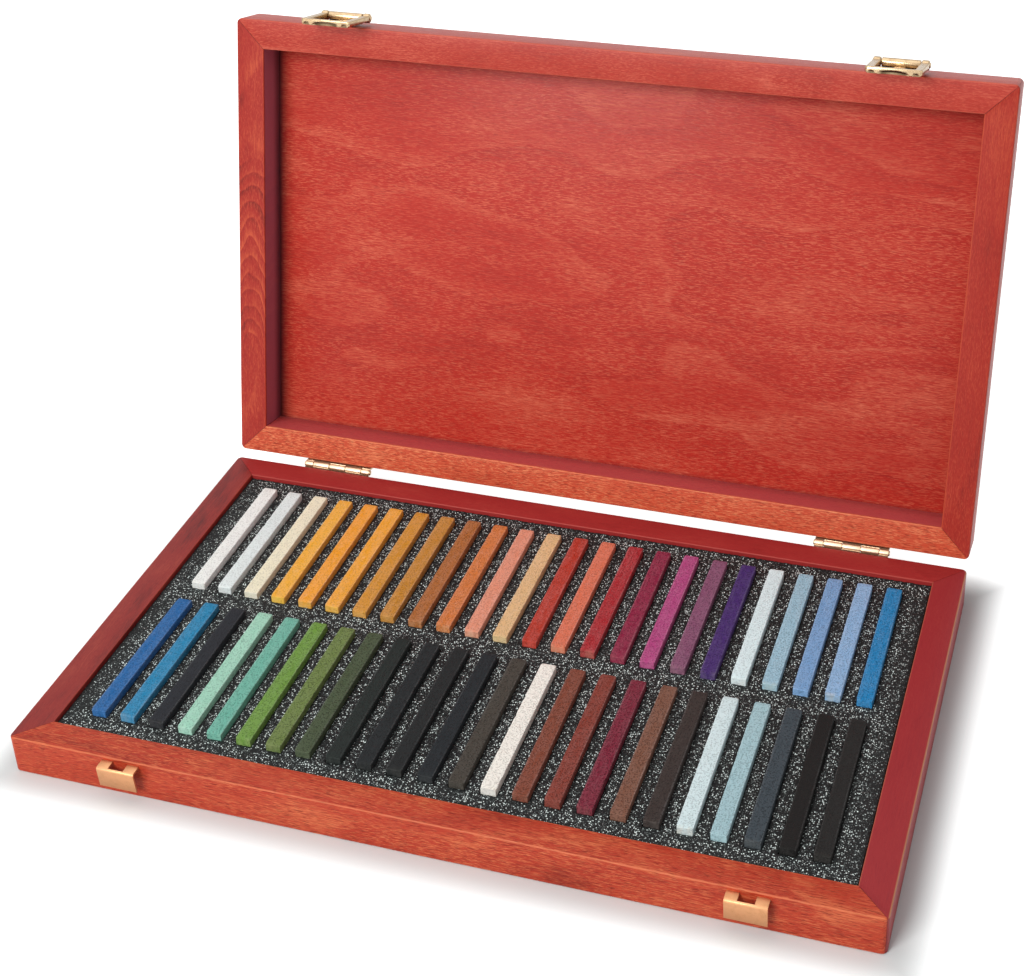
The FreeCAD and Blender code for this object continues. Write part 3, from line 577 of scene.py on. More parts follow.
def turning(stations, centre, axis="X", steps=40):  # stations are (distance along the axis, radius)
    turn = {"X": Matrix.Rotation(math.pi / 2, 3, "Y"), "Y": Matrix.Rotation(-math.pi / 2, 3, "X"),
            "Z": Matrix.Identity(3)}[axis]

    def build(shape):
        rings = []
        for distance, radius in stations:
            if radius == 0:
                rings.append([shape.verts.new(centre + turn @ Vector((0, 0, distance)))])
                continue
            ring = []
            for k in range(steps):
                angle = full * k / steps
                point = Vector((radius * math.cos(angle), radius * math.sin(angle), distance))
                ring.append(shape.verts.new(centre + turn @ point))
            rings.append(ring)
        for ring in (rings[0], rings[-1]):
            if len(ring) > 1:
                shape.faces.new(ring)
        for first, second in zip(rings, rings[1:]):
            for k in range(steps):
                j = (k + 1) % steps
                corners = [first[k % len(first)], first[j % len(first)], second[j % len(second)],
                           second[k % len(second)]]
                corners = [corner for n, corner in enumerate(corners) if corner not in corners[:n]]
                shape.faces.new(corners)
        bmesh.ops.recalc_face_normals(shape, faces=shape.faces)
    return meshFrom("turning", build)


def easedRod(left, right, radius, ease, centre, steps=40, easeSteps=3):  # along x, with eased ends
    angles = [k * math.pi / 2 / easeSteps for k in range(easeSteps + 1)]
    near = [(left, 0.0)] + [(left + ease * (1 - math.cos(angle)), radius - ease * (1 - math.sin(angle)))
                            for angle in angles]
    far = [(right - (distance - left), size) for distance, size in reversed(near)]
    return turning(near + far, centre, "X", steps)


def roundedOutline(corners, steps=5):  # corners are (across, up, radius); each becomes an arc
    points = []
    count = len(corners)
    for i, (across, up, radius) in enumerate(corners):
        here = Vector((across, up))
        if radius == 0:
            points.append(here)
            continue
        before = (Vector(corners[i - 1][:2]) - here).normalized()
        after = (Vector(corners[(i + 1) % count][:2]) - here).normalized()
        half = before.angle(after) / 2
        centre = here + (before + after).normalized() * (radius / math.sin(half))
        start = here + before * (radius / math.tan(half)) - centre
        end = here + after * (radius / math.tan(half)) - centre
        sweep = start.angle_signed(end)
        for k in range(steps + 1):
            angle = -sweep * k / steps
            turned = Vector((start.x * math.cos(angle) - start.y * math.sin(angle),
                             start.x * math.sin(angle) + start.y * math.cos(angle)))
            points.append(centre + turned)
    return points


def unevenness(mesh, amount, size, seed):
    for vertex in mesh.vertices:
        push = noise.noise(vertex.co / size + Vector((seed, seed * 0.3, 0)))
        vertex.co += vertex.normal * push * amount


def addPiece(name, mesh, material, body, nodes, opened=False, angle=35):
    if opened:
        mesh.transform(lidTurn)
    if not mesh.materials or mesh.materials[0] is None:
        mesh.materials.clear()
        mesh.materials.append(material)
    mesh.shade_smooth()
    mesh.set_sharp_from_angle(angle=math.radians(angle))
    mesh.name = name
    piece = linked(name, mesh)
    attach(piece, body)
    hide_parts(*nodes)
    return piece


# The two frames of mitred rails

railTurns = {"front": 0, "right": 90, "back": 180, "left": 270}
railLook = {
    "edge": 0.8 * mm, "innerEdge": 0.45 * mm, "rebateEdge": 0.2 * mm, "corner": 2.6 * mm,
    "width": 15 * mm, "panelSeat": 7 * mm, "panelThickness": 3 * mm, "panelEdge": 0.35 * mm,
    "seam": 0.07 * mm, "stations": 72, "cornerSteps": 5, "wave": 0.07 * mm, "waveSize": 26 * mm,
    "seedStep": 0.37, "lidSeed": 1.9, "waveSeed": 7, "merge": 0.004 * mm,
}


def railMesh(side, length, depth, low, high, panelAtTop, seed):
    look = railLook
    height, inner, seat = high - low, look["width"], look["width"] - look["panelSeat"]
    outline = roundedOutline([
        (0, 0, look["edge"]), (0, height, look["edge"]), (inner, height, look["innerEdge"]),
        (inner, look["panelThickness"], look["rebateEdge"]), (seat, look["panelThickness"], 0),
        (seat, 0, look["rebateEdge"])])
    if panelAtTop:
        outline = [Vector((point.x, height - point.y)) for point in reversed(outline)]
    half, corner, steps = length / 2, look["corner"], look["cornerSteps"]
    bends = [("round", math.pi / 4 * (steps - k) / steps) for k in range(steps)]
    stations = ([(kind, -angle) for kind, angle in bends]
                + [("straight", -1 + 2 * k / look["stations"]) for k in range(look["stations"] + 1)]
                + list(reversed(bends)))

    def stationPoint(kind, value, inset):
        if kind == "straight":
            return value * (half - max(inset, corner)), inset
        radius = corner - inset
        if radius <= 0:
            return math.copysign(half - inset - look["seam"], value), inset
        angle = abs(value)
        out = half - corner + radius * math.sin(angle) - look["seam"] * angle / (math.pi / 4)
        return math.copysign(out, value), corner - radius * math.cos(angle)

    def build(shape):
        rings = []
        for kind, value in stations:
            ring = []
            for point in outline:
                along, inset = stationPoint(kind, value, point.x)
                ring.append(shape.verts.new((along, inset - depth / 2, low + point.y)))
            rings.append(ring)
        count = len(outline)
        for first, second in zip(rings, rings[1:]):
            for i in range(count):
                j = (i + 1) % count
                shape.faces.new((first[i], first[j], second[j], second[i]))
        shape.faces.new(rings[0])
        shape.faces.new(rings[-1])
        bmesh.ops.remove_doubles(shape, verts=shape.verts, dist=look["merge"])
        bmesh.ops.recalc_face_normals(shape, faces=shape.faces)

    mesh = meshFrom("rail", build)
    unevenness(mesh, look["wave"], look["waveSize"], seed)
    mesh.transform(Matrix.Rotation(math.radians(railTurns[side]), 4, "Z"))
    return mesh


def addWood(node, mesh, material, onLid):
    addPiece(f"{node}_wood", mesh, material, "lid" if onLid else "base", [node], onLid)


def buildFrame(name, low, high, onLid):
    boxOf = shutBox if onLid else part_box
    front, left = boxOf(f"{name}_front_rail"), boxOf(f"{name}_left_rail")
    width, depth = front[1].x - front[0].x, left[1].y - left[0].y
    for number, side in enumerate(railTurns):
        node, alongX = f"{name}_{side}_rail", side in ("front", "back")
        length, across = (width, depth) if alongX else (depth, width)
        seed = railLook["seedStep"] * (number + 1) + (railLook["lidSeed"] if onLid else 0.0)
        mesh = railMesh(side, length, across, low, high, onLid, seed * railLook["waveSeed"])
        material = stainedWood(node, alongX, onLid, seed, (width / 2, depth / 2, low if onLid else high))
        addWood(node, mesh, material, onLid)


def buildPanel(node, onLid, seed):
    low, high = (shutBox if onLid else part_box)(node)
    seat = railLook["panelSeat"]
    well = (high.x - seat, (high.y - low.y) / 2 - seat, low.z) if onLid else None
    material = stainedWood(node, True, onLid, seed, None, well)
    addWood(node, eased(block(low, high), railLook["panelEdge"]), material, onLid)


baseLow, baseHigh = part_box("base_front_rail")
lidLow, lidHigh = shutBox("lid_front_rail")
buildFrame("base", baseLow.z, baseHigh.z, False)
buildFrame("lid", lidLow.z, lidHigh.z, True)
buildPanel("base_bottom_panel", False, 3.1)
buildPanel("lid_panel", True, 4.7)
print("wood: eight rails and two panels")


# The sticks, in two rows from the left

rowColours = {
    "back": ["#fafdf9", "#ebf6f5", "#faf4d6", "#fab534", "#f8a420", "#f7aa28", "#d8942a", "#c8882c",
             "#b0692e", "#d67a38", "#e89678", "#e8be88", "#ba3420", "#e07250", "#ac2029", "#8e1d41",
             "#b64582", "#885070", "#45296f", "#e2f7fa", "#9ec5d8", "#78a4d4", "#8eb6df", "#1082be"],
    "front": ["#1f66a6", "#2087b6", "#23262c", "#a4dac2", "#70b9a5", "#6f9840", "#6d8144", "#46533a",
              "#1c2422", "#1c2123", "#1b1f20", "#1c2226", "#443f38", "#fbf6ec", "#824330", "#86392c",
              "#7a1e34", "#7d5240", "#372e2b", "#dbeff2", "#a7cad2", "#3c464d", "#0f0d0c", "#1c1b1a"],
}
sticksInRow = len(rowColours["back"])
stickLook = {
    "arris": 0.3 * mm, "plump": 0.24 * mm, "points": 64, "endEase": 0.008, "wear": 0.16 * mm,
    "chip": 0.30 * mm, "lean": 0.16, "shift": 0.12 * mm, "shorter": 0.5 * mm, "mostDust": 0.8,
    "rubSize": 5 * mm, "chipSize": 2.2 * mm, "chipBand": (0.55, 0.80), "arrisBand": (0.86, 0.95),
    "sideCuts": 3, "arrisPoints": 3, "frontSeed": 40, "sharpAngle": 40,
}


def pairOf(number):  # the numbers of a stick and its neighbour, as their node has them
    first = number - number % 2 + 1
    return f"{first:02d}_{first + 1:02d}"


def stickBox(row, number):  # box of one stick of the two that share a node
    low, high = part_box(f"{row}_pastels_{pairOf(number)}")
    side = high.z - low.z
    left = high.x - side if number % 2 else low.x
    return Vector((left, low.y, low.z)), Vector((left + side, high.y, high.z))


def newTree(name, inputs):  # a Geometry Nodes tree with named inputs
    tree = bpy.data.node_groups.new(name, "GeometryNodeTree")
    inputs = {"Geometry": "Geometry", **inputs}
    for label, kind in inputs.items():
        tree.interface.new_socket(name=label, in_out="INPUT", socket_type=f"NodeSocket{kind}")
    tree.interface.new_socket(name="Geometry", in_out="OUTPUT", socket_type="NodeSocketGeometry")
    return tree, Board(tree)


def closeTree(board, shape, material):
    whole = board.add("GeometryNodeRealizeInstances", {"Geometry": shape})
    painted = board.add("GeometryNodeSetMaterial", {"Geometry": whole, "Material": material})
    board.add("NodeGroupOutput", {0: painted})


def runTree(tree, mesh, values):
    keys = {item.name: item.identifier for item in tree.interface.items_tree if item.in_out == "INPUT"}
    inputs = {keys[name]: value for name, value in values.items()}
    return evaluated(mesh, "NODES", {"node_group": tree}, inputs)


def stickTree():
    # A square bar along y with eased arrises and ends, rubbed and chipped by noise.
    floats = ("Side", "Length", "Arris", "End Ease", "Wear", "Chip", "Seed")
    tree, board = newTree("pastelStick", {**dict.fromkeys(floats, "Float"), "Points": "Int",
                                          "Material": "Material"})
    look = stickLook
    given = board.add("NodeGroupInput")
    side, length = given.out("Side"), given.out("Length")
    start, end = (board.join(0.0, length * share, 0.0) for share in (-0.5, 0.5))
    line = board.add("GeometryNodeCurvePrimitiveLine", {"Start": start, "End": end})
    spine = board.add("GeometryNodeResampleCurve", {"Curve": line, "Count": given.out("Points")})
    way = board.add("GeometryNodeSplineParameter").out("Factor")
    toEnd = (way.math("MINIMUM", 1.0 - way) / given.out("End Ease")).math("MINIMUM", 1.0)
    swell = 1.0 - (1.0 - toEnd) ** 2.0 * (given.out("Arris") * 2.0 / side)
    square = board.add("GeometryNodeCurvePrimitiveQuadrilateral", {"Width": side, "Height": side})
    cut = board.add("GeometryNodeSubdivideCurve", {"Curve": square, "Cuts": look["sideCuts"]})
    rounded = board.add("GeometryNodeFilletCurve", {"Curve": cut, "Count": look["arrisPoints"],
                                                    "Radius": given.out("Arris"), "Limit Radius": True},
                        mode="POLY")
    bar = board.add("GeometryNodeCurveToMesh", {"Curve": spine, "Profile Curve": rounded,
                                                "Scale": swell, "Fill Caps": True})
    place = board.add("GeometryNodeInputPosition")
    seeded = board.vector("ADD", place, board.join(given.out("Seed"), 0.0, given.out("Seed")))
    x, _, z = board.split(place)
    nearArris = board.band((abs(x) + abs(z)) / side, *look["arrisBand"])
    rub = (board.noise(seeded, look["rubSize"]) - 0.5) * given.out("Wear")
    chipped = board.band(board.noise(seeded, look["chipSize"]), *look["chipBand"])
    push = rub - chipped * nearArris * given.out("Chip")
    normal = board.add("GeometryNodeInputNormal")
    offset = board.add("ShaderNodeVectorMath", {"Vector": normal, "Scale": push}, operation="SCALE")
    worn = board.add("GeometryNodeSetPosition", {"Geometry": bar, "Offset": offset})
    closeTree(board, worn, given.out("Material"))
    return tree


def buildSticks():
    look = stickLook
    tree = stickTree()
    draw = random.Random(48)
    for row, colours in rowColours.items():
        for number, code in enumerate(colours):
            low, high = stickBox(row, number)
            material = chalkMaterial(f"chalk_{row}_{number + 1:02d}", code,
                                     number + (0 if row == "back" else look["frontSeed"]), low, high,
                                     draw.uniform(0.0, look["mostDust"]) * max(paint(code)) ** 0.5)
            mesh = runTree(tree, bpy.data.meshes.new("blank"), {
                "Side": high.z - low.z + look["plump"],
                "Length": high.y - low.y - draw.uniform(0, 1) * look["shorter"],
                "Arris": look["arris"], "Points": look["points"], "End Ease": look["endEase"],
                "Wear": look["wear"], "Chip": look["chip"] * draw.uniform(0.5, 1.5),
                "Seed": draw.uniform(0, 9), "Material": material})
            turn = math.radians(draw.uniform(-1, 1) * look["lean"])
            shift = Vector((draw.uniform(-1, 1), draw.uniform(-1, 1), 0)) * look["shift"]
            centre = (low + high + Vector((0, 0, look["plump"]))) / 2
            mesh.transform(Matrix.Translation(centre + shift) @ Matrix.Rotation(turn, 4, "Z"))
            node = f"{row}_pastels_{pairOf(number)}"
            addPiece(f"{row}_pastel_{number + 1:02d}", mesh, material, node, [node],
                     False, look["sharpAngle"])


buildSticks()
print("sticks: two rows of 24")


# The foam: one block with a pocket for each stick

def marks(pairs, low, high, spacing):  # grid lines from low to high that hit both ends of every pair
    cuts = [low, *(edge for pair in pairs for edge in pair), high]
    lines = [low]
    for start, end in zip(cuts, cuts[1:]):
        steps = max(1, round((end - start) / spacing))
        lines += [start + (end - start) * k / steps for k in range(1, steps + 1)]
    return lines


def between(lines, pairs):  # for each gap of the grid, whether it lies in a pair
    return [any(a < (start + end) / 2 < b for a, b in pairs) for start, end in zip(lines, lines[1:])]


def stretches(inside):  # the stretches of gaps that lie in a pair, as (first line, last line)
    edges = [k for k in range(len(inside) + 1)
             if (k > 0 and inside[k - 1]) != (k < len(inside) and inside[k])]
    return list(zip(edges[::2], edges[1::2]))


def around(left, right, low, high):  # the grid points round a rectangle, anticlockwise
    return ([(k, low) for k in range(left, right)] + [(right, k) for k in range(low, high)]
            + [(k, high) for k in range(right, left, -1)] + [(left, k) for k in range(high, low, -1)])


def buildFoam():
    look = foamLook
    draw = random.Random(7)
    trayLow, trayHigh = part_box("foam_slotted_tray")
    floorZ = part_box("foam_underlay")[0].z
    play, layers = look["slotPlay"], look["wallLayers"]
    boxes = [stickBox(row, number) for row in rowColours for number in range(sticksInRow)]
    columns, rows = (sorted({(round(low[axis] - play, 6), round(high[axis] + play, 6))
                             for low, high in boxes}) for axis in (0, 1))
    xs = marks(columns, trayLow.x, trayHigh.x, look["spacing"])
    ys = marks(rows, trayLow.y, trayHigh.y, look["spacing"])
    inColumn, inRow = between(xs, columns), between(ys, rows)
    lastX, lastY = len(inColumn), len(inRow)

    def build(shape):
        made, edgeOf = {}, set()

        def vertex(i, j, layer):
            key = (i, j, layer)
            if key not in made:
                z = trayHigh.z - (trayHigh.z - trayLow.z) * layer / layers
                made[key] = shape.verts.new((xs[i], ys[j], z if layer <= layers else floorZ))
            return made[key]

        for i in range(lastX):
            for j in range(lastY):
                if inColumn[i] and inRow[j]:
                    continue
                corners = [(i, j), (i + 1, j), (i + 1, j + 1), (i, j + 1)]
                shape.faces.new([vertex(*corner, 0) for corner in corners])
                beyond = [(i, j - 1), (i + 1, j), (i, j + 1), (i - 1, j)]
                for a, b, (nextI, nextJ) in zip(corners, corners[1:] + corners[:1], beyond):
                    outside = not (0 <= nextI < lastX and 0 <= nextJ < lastY)
                    if not outside and not (inColumn[nextI] and inRow[nextJ]):
                        continue
                    edgeOf |= {a, b}
                    levels = (0, layers + 1) if outside else range(layers + 1)
                    for upper, lower in zip(levels, levels[1:]):
                        shape.faces.new((vertex(*b, upper), vertex(*a, upper), vertex(*a, lower),
                                         vertex(*b, lower)))
        for left, right in stretches(inColumn):
            for near, far in stretches(inRow):
                shape.faces.new([vertex(*point, layers) for point in around(left, right, near, far)])
        shape.faces.new([vertex(*point, layers + 1) for point in reversed(around(0, lastX, 0, lastY))])
        for (i, j, layer), point in made.items():
            if layer == 0 and (i, j) in edgeOf:
                atRim = i in (0, lastX) or j in (0, lastY)
                point.co.z -= look["rimDrop" if atRim else "edgeDrop"] * draw.uniform(0.3, 1.0)
            elif layer == 0:
                point.co += Vector((draw.uniform(-1, 1) * look["jitterSide"],
                                    draw.uniform(-1, 1) * look["jitterSide"],
                                    draw.uniform(-1.2, 0.8) * look["jitterUp"]))

    first, second = stickBox("back", 0), stickBox("back", 1)
    material = foamMaterial(first, second[0].x - first[0].x, play, trayHigh)
    foam = addPiece("black_foam_insert", meshFrom("foam", build), material, "base",
                    ["foam_slotted_tray", "foam_underlay"], False, look["sharpAngle"])


buildFoam()
print("foam: one insert with 48 pockets")


# Brass hardware

polished = brassMaterial("polished")
rolled = brassMaterial("rolled")
satin = brassMaterial("satin")


def addBrass(node, mesh, material, body, opened=False):
    addPiece(f"{node}_brass", mesh, material, body, [node], opened)


hingeLook = {
    "sheet": 1.0 * mm, "radius": 1.75 * mm, "gap": 0.34 * mm, "standoff": 2.0 * mm, "leafGap": 0.25 * mm,
    "shares": (0.125, 0.25, 0.25, 0.25, 0.125), "ease": 0.14 * mm, "corner": 1.0 * mm, "cornerSteps": 4,
    "leafHeight": 12.5 * mm, "screwShares": ((-0.36, 0.36), (0.0, 0.68), (0.36, 0.36)),  # along, up
    "sinkRadius": 1.78 * mm, "sinkDepth": 0.85 * mm, "sinkFloor": 0.5, "sinkLip": 0.02 * mm,
    "sinkOver": 0.3 * mm, "pinEase": 0.3 * mm, "pinSteps": 24,
}
screwLook = {
    "headRadius": 1.68 * mm, "headDepth": 0.8 * mm, "dome": 0.16 * mm, "shank": 0.9 * mm, "steps": 28,
    "slotWidth": 0.45 * mm, "slotDepth": 0.4 * mm, "slotOver": 1.2, "length": 3.0 * mm,
}


def hingeSpans(length):  # knuckles as (from, to) about the hinge's middle
    shares, gap = hingeLook["shares"], hingeLook["gap"]
    spans, start = [], -length / 2
    for number, share in enumerate(shares):
        end = start + share * length
        spans.append((start + (gap / 2 if number else 0), end - (gap / 2 if number < len(shares) - 1 else 0)))
        start = end
    return spans


def screwPoints(middle, length, up):  # on the front of a leaf, above the axis where up is 1, below where -1
    look = hingeLook
    front = hingeAxis.y - look["standoff"] + look["sheet"]
    return [Vector((middle + along * length, front,
                    hingeAxis.z + up * (look["leafGap"] + high * look["leafHeight"])))
            for along, high in look["screwShares"]]


def leafMesh(middle, length, knuckles, up):
    look = hingeLook
    axis = Vector((middle, hingeAxis.y, hingeAxis.z))
    back, gap, wide = axis.y - look["standoff"], look["gap"], look["radius"] + look["gap"]
    near, far = axis.z + up * look["leafGap"], axis.z + up * (look["leafGap"] + look["leafHeight"])
    left, right = middle - length / 2, middle + length / 2
    outline = roundedOutline([(left, near, 0), (right, near, 0), (right, far, look["corner"]),
                              (left, far, look["corner"])], look["cornerSteps"])
    plate = eased(prism(outline, back, back + look["sheet"], "Y"), look["ease"])
    clearings, rolls = [], []
    for number, (start, end) in enumerate(hingeSpans(length)):
        if number in knuckles:
            rolls.append(easedRod(start, end, look["radius"], look["ease"], axis))
        else:
            edges = [(start - gap, 0), (start - gap, wide), (end + gap, wide), (end + gap, 0)]
            clearings.append(turning(edges, axis))
    sink, over = look["sinkRadius"], look["sinkOver"]
    sinks = [turning([(-look["sinkDepth"], 0), (-look["sinkDepth"], sink * look["sinkFloor"]),
                      (look["sinkLip"], sink), (over, sink), (over, 0)], place, "Y")
             for place in screwPoints(middle, length, up)]
    return carved(carved(carved(plate, clearings), rolls, "UNION"), sinks)


def dome(height, radius, steps=5):  # stations of a rounded head, from its top
    angles = [k * math.pi / 2 / steps for k in range(steps + 1)]
    return [(height * math.cos(angle), radius * math.sin(angle) if angle else 0) for angle in angles]


def screwMesh():
    look = screwLook
    shank, end = look["shank"], -look["length"]
    stations = dome(look["dome"], look["headRadius"]) + [(-look["headDepth"], shank), (end, shank), (end, 0)]
    head = turning(stations, Vector(), "Z", look["steps"])
    half, wide = look["slotWidth"] / 2, look["headRadius"] * look["slotOver"]
    slot = block((-wide, -half, look["dome"] - look["slotDepth"]), (wide, half, look["dome"] + mm))
    return carved(head, [slot])


def scatterTree():
    # Copies of one piece on the points of a mesh, each rolled by chance about its own axis.
    tree, board = newTree("fastenersOnPoints", {"Piece": "Object", "Facing": "Vector", "Roll": "Float",
                                                "Seed": "Int", "Material": "Material"})
    given = board.add("NodeGroupInput")
    info = board.add("GeometryNodeObjectInfo", {"Object": given.out("Piece")})
    roll = board.add("FunctionNodeRandomValue", {"Min_001": 0.0, "Max_001": given.out("Roll"),
                                                 "Seed": given.out("Seed")})
    own = board.add("FunctionNodeEulerToRotation", {"Euler": board.join(0.0, 0.0, roll)})
    facing = board.add("FunctionNodeEulerToRotation", {"Euler": given.out("Facing")})
    turned = board.add("FunctionNodeRotateRotation", {"Rotation": facing, "Rotate By": own},
                       rotation_space="LOCAL")
    points = board.add("GeometryNodeMeshToPoints", {"Mesh": given.out("Geometry")})
    instance = info.out("Geometry")
    copies = board.add("GeometryNodeInstanceOnPoints", {"Points": points, "Instance": instance,
                                                        "Rotation": turned})
    closeTree(board, copies, given.out("Material"))
    return tree


def scattered(tree, template, places, facing, seed, material):
    holder = linked("template", template)
    cloud = bpy.data.meshes.new("places")
    cloud.from_pydata(places, [], [])
    made = runTree(tree, cloud, {"Piece": holder, "Facing": (facing, 0.0, 0.0), "Roll": full / 2,
                                 "Seed": seed, "Material": material})
    bpy.data.objects.remove(holder)
    return made


def buildHinges(tree):
    screws = {"base": [], "lid": []}
    for side, knuckles in (("left", ((1, 3), (0, 2, 4))), ("right", ((0, 2, 4), (1, 3)))):
        low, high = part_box(f"{side}_hinge_base_leaf")
        middle, length = (low.x + high.x) / 2, high.x - low.x
        for name, own, up in zip(screws, knuckles, (-1, 1)):
            mesh = leafMesh(middle, length, own, up)
            addBrass(f"{side}_hinge_{name}_leaf", mesh, rolled, name, name == "lid")
            screws[name] += screwPoints(middle, length, up)
        low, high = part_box(f"{side}_hinge_pin")
        pin = easedRod(low.x, high.x, (high.z - low.z) / 2, hingeLook["pinEase"],
                       Vector((0, hingeAxis.y, hingeAxis.z)), hingeLook["pinSteps"])
        addBrass(f"{side}_hinge_pin", pin, polished, "base")
    for name, seed in (("base", 4), ("lid", 6)):
        mesh = scattered(tree, screwMesh(), screws[name], -math.pi / 2, seed, polished)
        addBrass(f"hinge_{name}_screws", mesh, polished, name, name == "lid")


fastenerTree = scatterTree()
buildHinges(fastenerTree)
print("hinges: two, with twelve screws")


keeperLook = {
    "sheet": 1.0 * mm, "lean": 0.9 * mm, "notch": 7.4 * mm, "notchReach": 9 * mm, "notchWall": 1.1,
    "bend": 1.3 * mm, "innerBend": 0.5 * mm, "ease": 0.14 * mm, "intoWood": 1.5 * mm,
}


def keeperMesh(low, high, faceY):
    look = keeperLook
    sheet, root, foot = look["sheet"], faceY + look["intoWood"], low.y + look["lean"]
    slope = look["lean"] / (high.z - low.z)
    outline = roundedOutline([
        (root, high.z, 0), (low.y, high.z, look["bend"]), (foot, low.z, 0), (foot + sheet, low.z, 0),
        (low.y + sheet + slope * sheet, high.z - sheet, look["innerBend"]), (root, high.z - sheet, 0)])
    middle, half = (low.x + high.x) / 2, look["notch"] / 2
    notch = block((middle - half, low.y + sheet * look["notchWall"], high.z - 2 * sheet),
                  (middle + half, faceY + look["notchReach"], high.z + sheet))
    return eased(carved(prism(outline, low.x, high.x), [notch]), look["ease"])


catchLook = {
    "sheet": 0.9 * mm, "barrel": 2.2 * mm, "tabWidth": 5.6 * mm, "tabRise": 0.8 * mm, "tabEase": 0.48 * mm,
    "ease": 0.16 * mm, "barrelEase": 0.3 * mm, "barrelSteps": 48, "rodEase": 0.25 * mm, "rodSteps": 24,
    "nailRadius": 0.95 * mm, "nailHeight": 0.4 * mm, "nailSpread": 4.7 * mm, "nailRise": 4.6 * mm,
    "nailDepth": 0.5 * mm, "nailTaper": 0.6, "nailSteps": 24,
    "armWidth": 3.9 * mm, "armThickness": 2.8 * mm, "lug": 2.4 * mm, "barHeight": 2.0 * mm,
    "barDepth": 3.2 * mm, "barInset": 0.8 * mm, "bailEase": 0.85 * mm, "barEase": 0.55 * mm,
    "barEaseAngle": 50, "cornerRound": 1.5 * mm, "innerRound": 0.6 * mm, "easeSteps": 3,
    "pockets": ((0, 15.0, 1.6, 2.2), (-10.3, 3.6, 1.0, 1.6), (10.3, 3.6, 1.0, 1.6)),  # see bailMesh
    # after pocketSteps, these strengths and bands mask the painted shade in the bail's pockets
    "pocketSteps": 16, "pocketShade": 0.9, "endPocketShade": 0.7, "darkMiddle": (5.2 * mm, 7.2 * mm),
    "darkEnds": (8.6 * mm, 9.4 * mm, 11.2 * mm, 12 * mm), "darkBack": (1.0 * mm, 1.8 * mm),
    "darkUnder": (1.2 * mm, 2.0 * mm),
}


def nailMesh():
    look = catchLook
    stations = dome(look["nailHeight"], look["nailRadius"])
    stations += [(-look["nailDepth"], look["nailRadius"] * look["nailTaper"]), (-look["nailDepth"], 0)]
    return turning(stations, Vector(), "Z", look["nailSteps"])


def bracketMesh(low, high, rod, faceY):
    look = catchLook
    sheet, rise = look["sheet"], look["tabRise"]
    plate = eased(block((low.x, faceY - sheet, low.z), (high.x, faceY, rod.z)), look["ease"])
    middle, half = (low.x + high.x) / 2, look["tabWidth"] / 2
    tab = eased(block((middle - half, faceY - sheet - rise, low.z + rise),
                      (middle + half, faceY - sheet / 2, rod.z)), look["tabEase"], look["easeSteps"])
    barrel = easedRod(low.x, high.x, look["barrel"], look["barrelEase"], Vector((0, rod.y, rod.z)),
                      look["barrelSteps"])
    return carved(plate, [tab, barrel], "UNION")


def bailMesh(low, high, rod):
    # A U of flat arms with lugs, and a deeper bar with pockets pressed into it from the wood's side. A
    # pocket is its place along the bar, width, depth and half height, in mm.
    look = catchLook
    wide, inset, corner, inner = (look[key] for key in ("armWidth", "barInset", "cornerRound", "innerRound"))
    frontY = rod.y - look["armThickness"] / 2
    backY, barTop = frontY + look["barDepth"], low.z + look["barHeight"]
    ring = roundedOutline([(low.x, rod.z, 0), (low.x, low.z, corner), (high.x, low.z, corner),
                           (high.x, rod.z, 0), (high.x - wide, rod.z, 0), (high.x - wide, barTop, inner),
                           (low.x + wide, barTop, inner), (low.x + wide, rod.z, 0)])
    arms = eased(prism(ring, frontY, frontY + look["armThickness"], "Y"), look["bailEase"], look["easeSteps"])
    left, right = low.x + inset, high.x - inset
    section = [(left, frontY), (right, frontY), (right, backY), (left, backY)]
    bar = eased(prism(section, low.z, barTop, "Z"), look["barEase"], look["easeSteps"], look["barEaseAngle"])
    lugs = [easedRod(start, start + wide, look["lug"], look["bailEase"], Vector((0, rod.y, rod.z)))
            for start in (low.x, high.x - wide)]
    pockets, steps = [], look["pocketSteps"]
    angles = [math.pi * k / steps - math.pi / 2 for k in range(1, steps)]
    for offset, width, deep, rise in look["pockets"]:
        pocket = turning([(math.sin(angle), math.cos(angle)) for angle in angles], Vector(), "X")
        pocket.transform(Matrix.Translation(((low.x + high.x) / 2 + offset * mm, backY, low.z))
                         @ Matrix.Diagonal((width * mm / 2, rise * mm, deep * mm, 1)))
        pockets.append(pocket)
    return carved(carved(arms, [bar] + lugs, "UNION"), pockets)


def paintedPocketShade(rod, low):  # painted shade in the bail's pockets
    look = catchLook
    frontY = rod.y - look["armThickness"] / 2

    def mask(board, point):
        x, y, z = board.split(point)
        off = abs(abs(x) - abs(rod.x))
        middle = 1 - board.band(off, *look["darkMiddle"])
        ends = board.band(off, *look["darkEnds"][:2]) * (1 - board.band(off, *look["darkEnds"][2:]))
        back = board.band(y - frontY, *look["darkBack"])
        under = 1 - board.band(z - low.z, *look["darkUnder"])
        return (middle + ends * look["endPocketShade"]) * back * under * look["pocketShade"]
    return mask


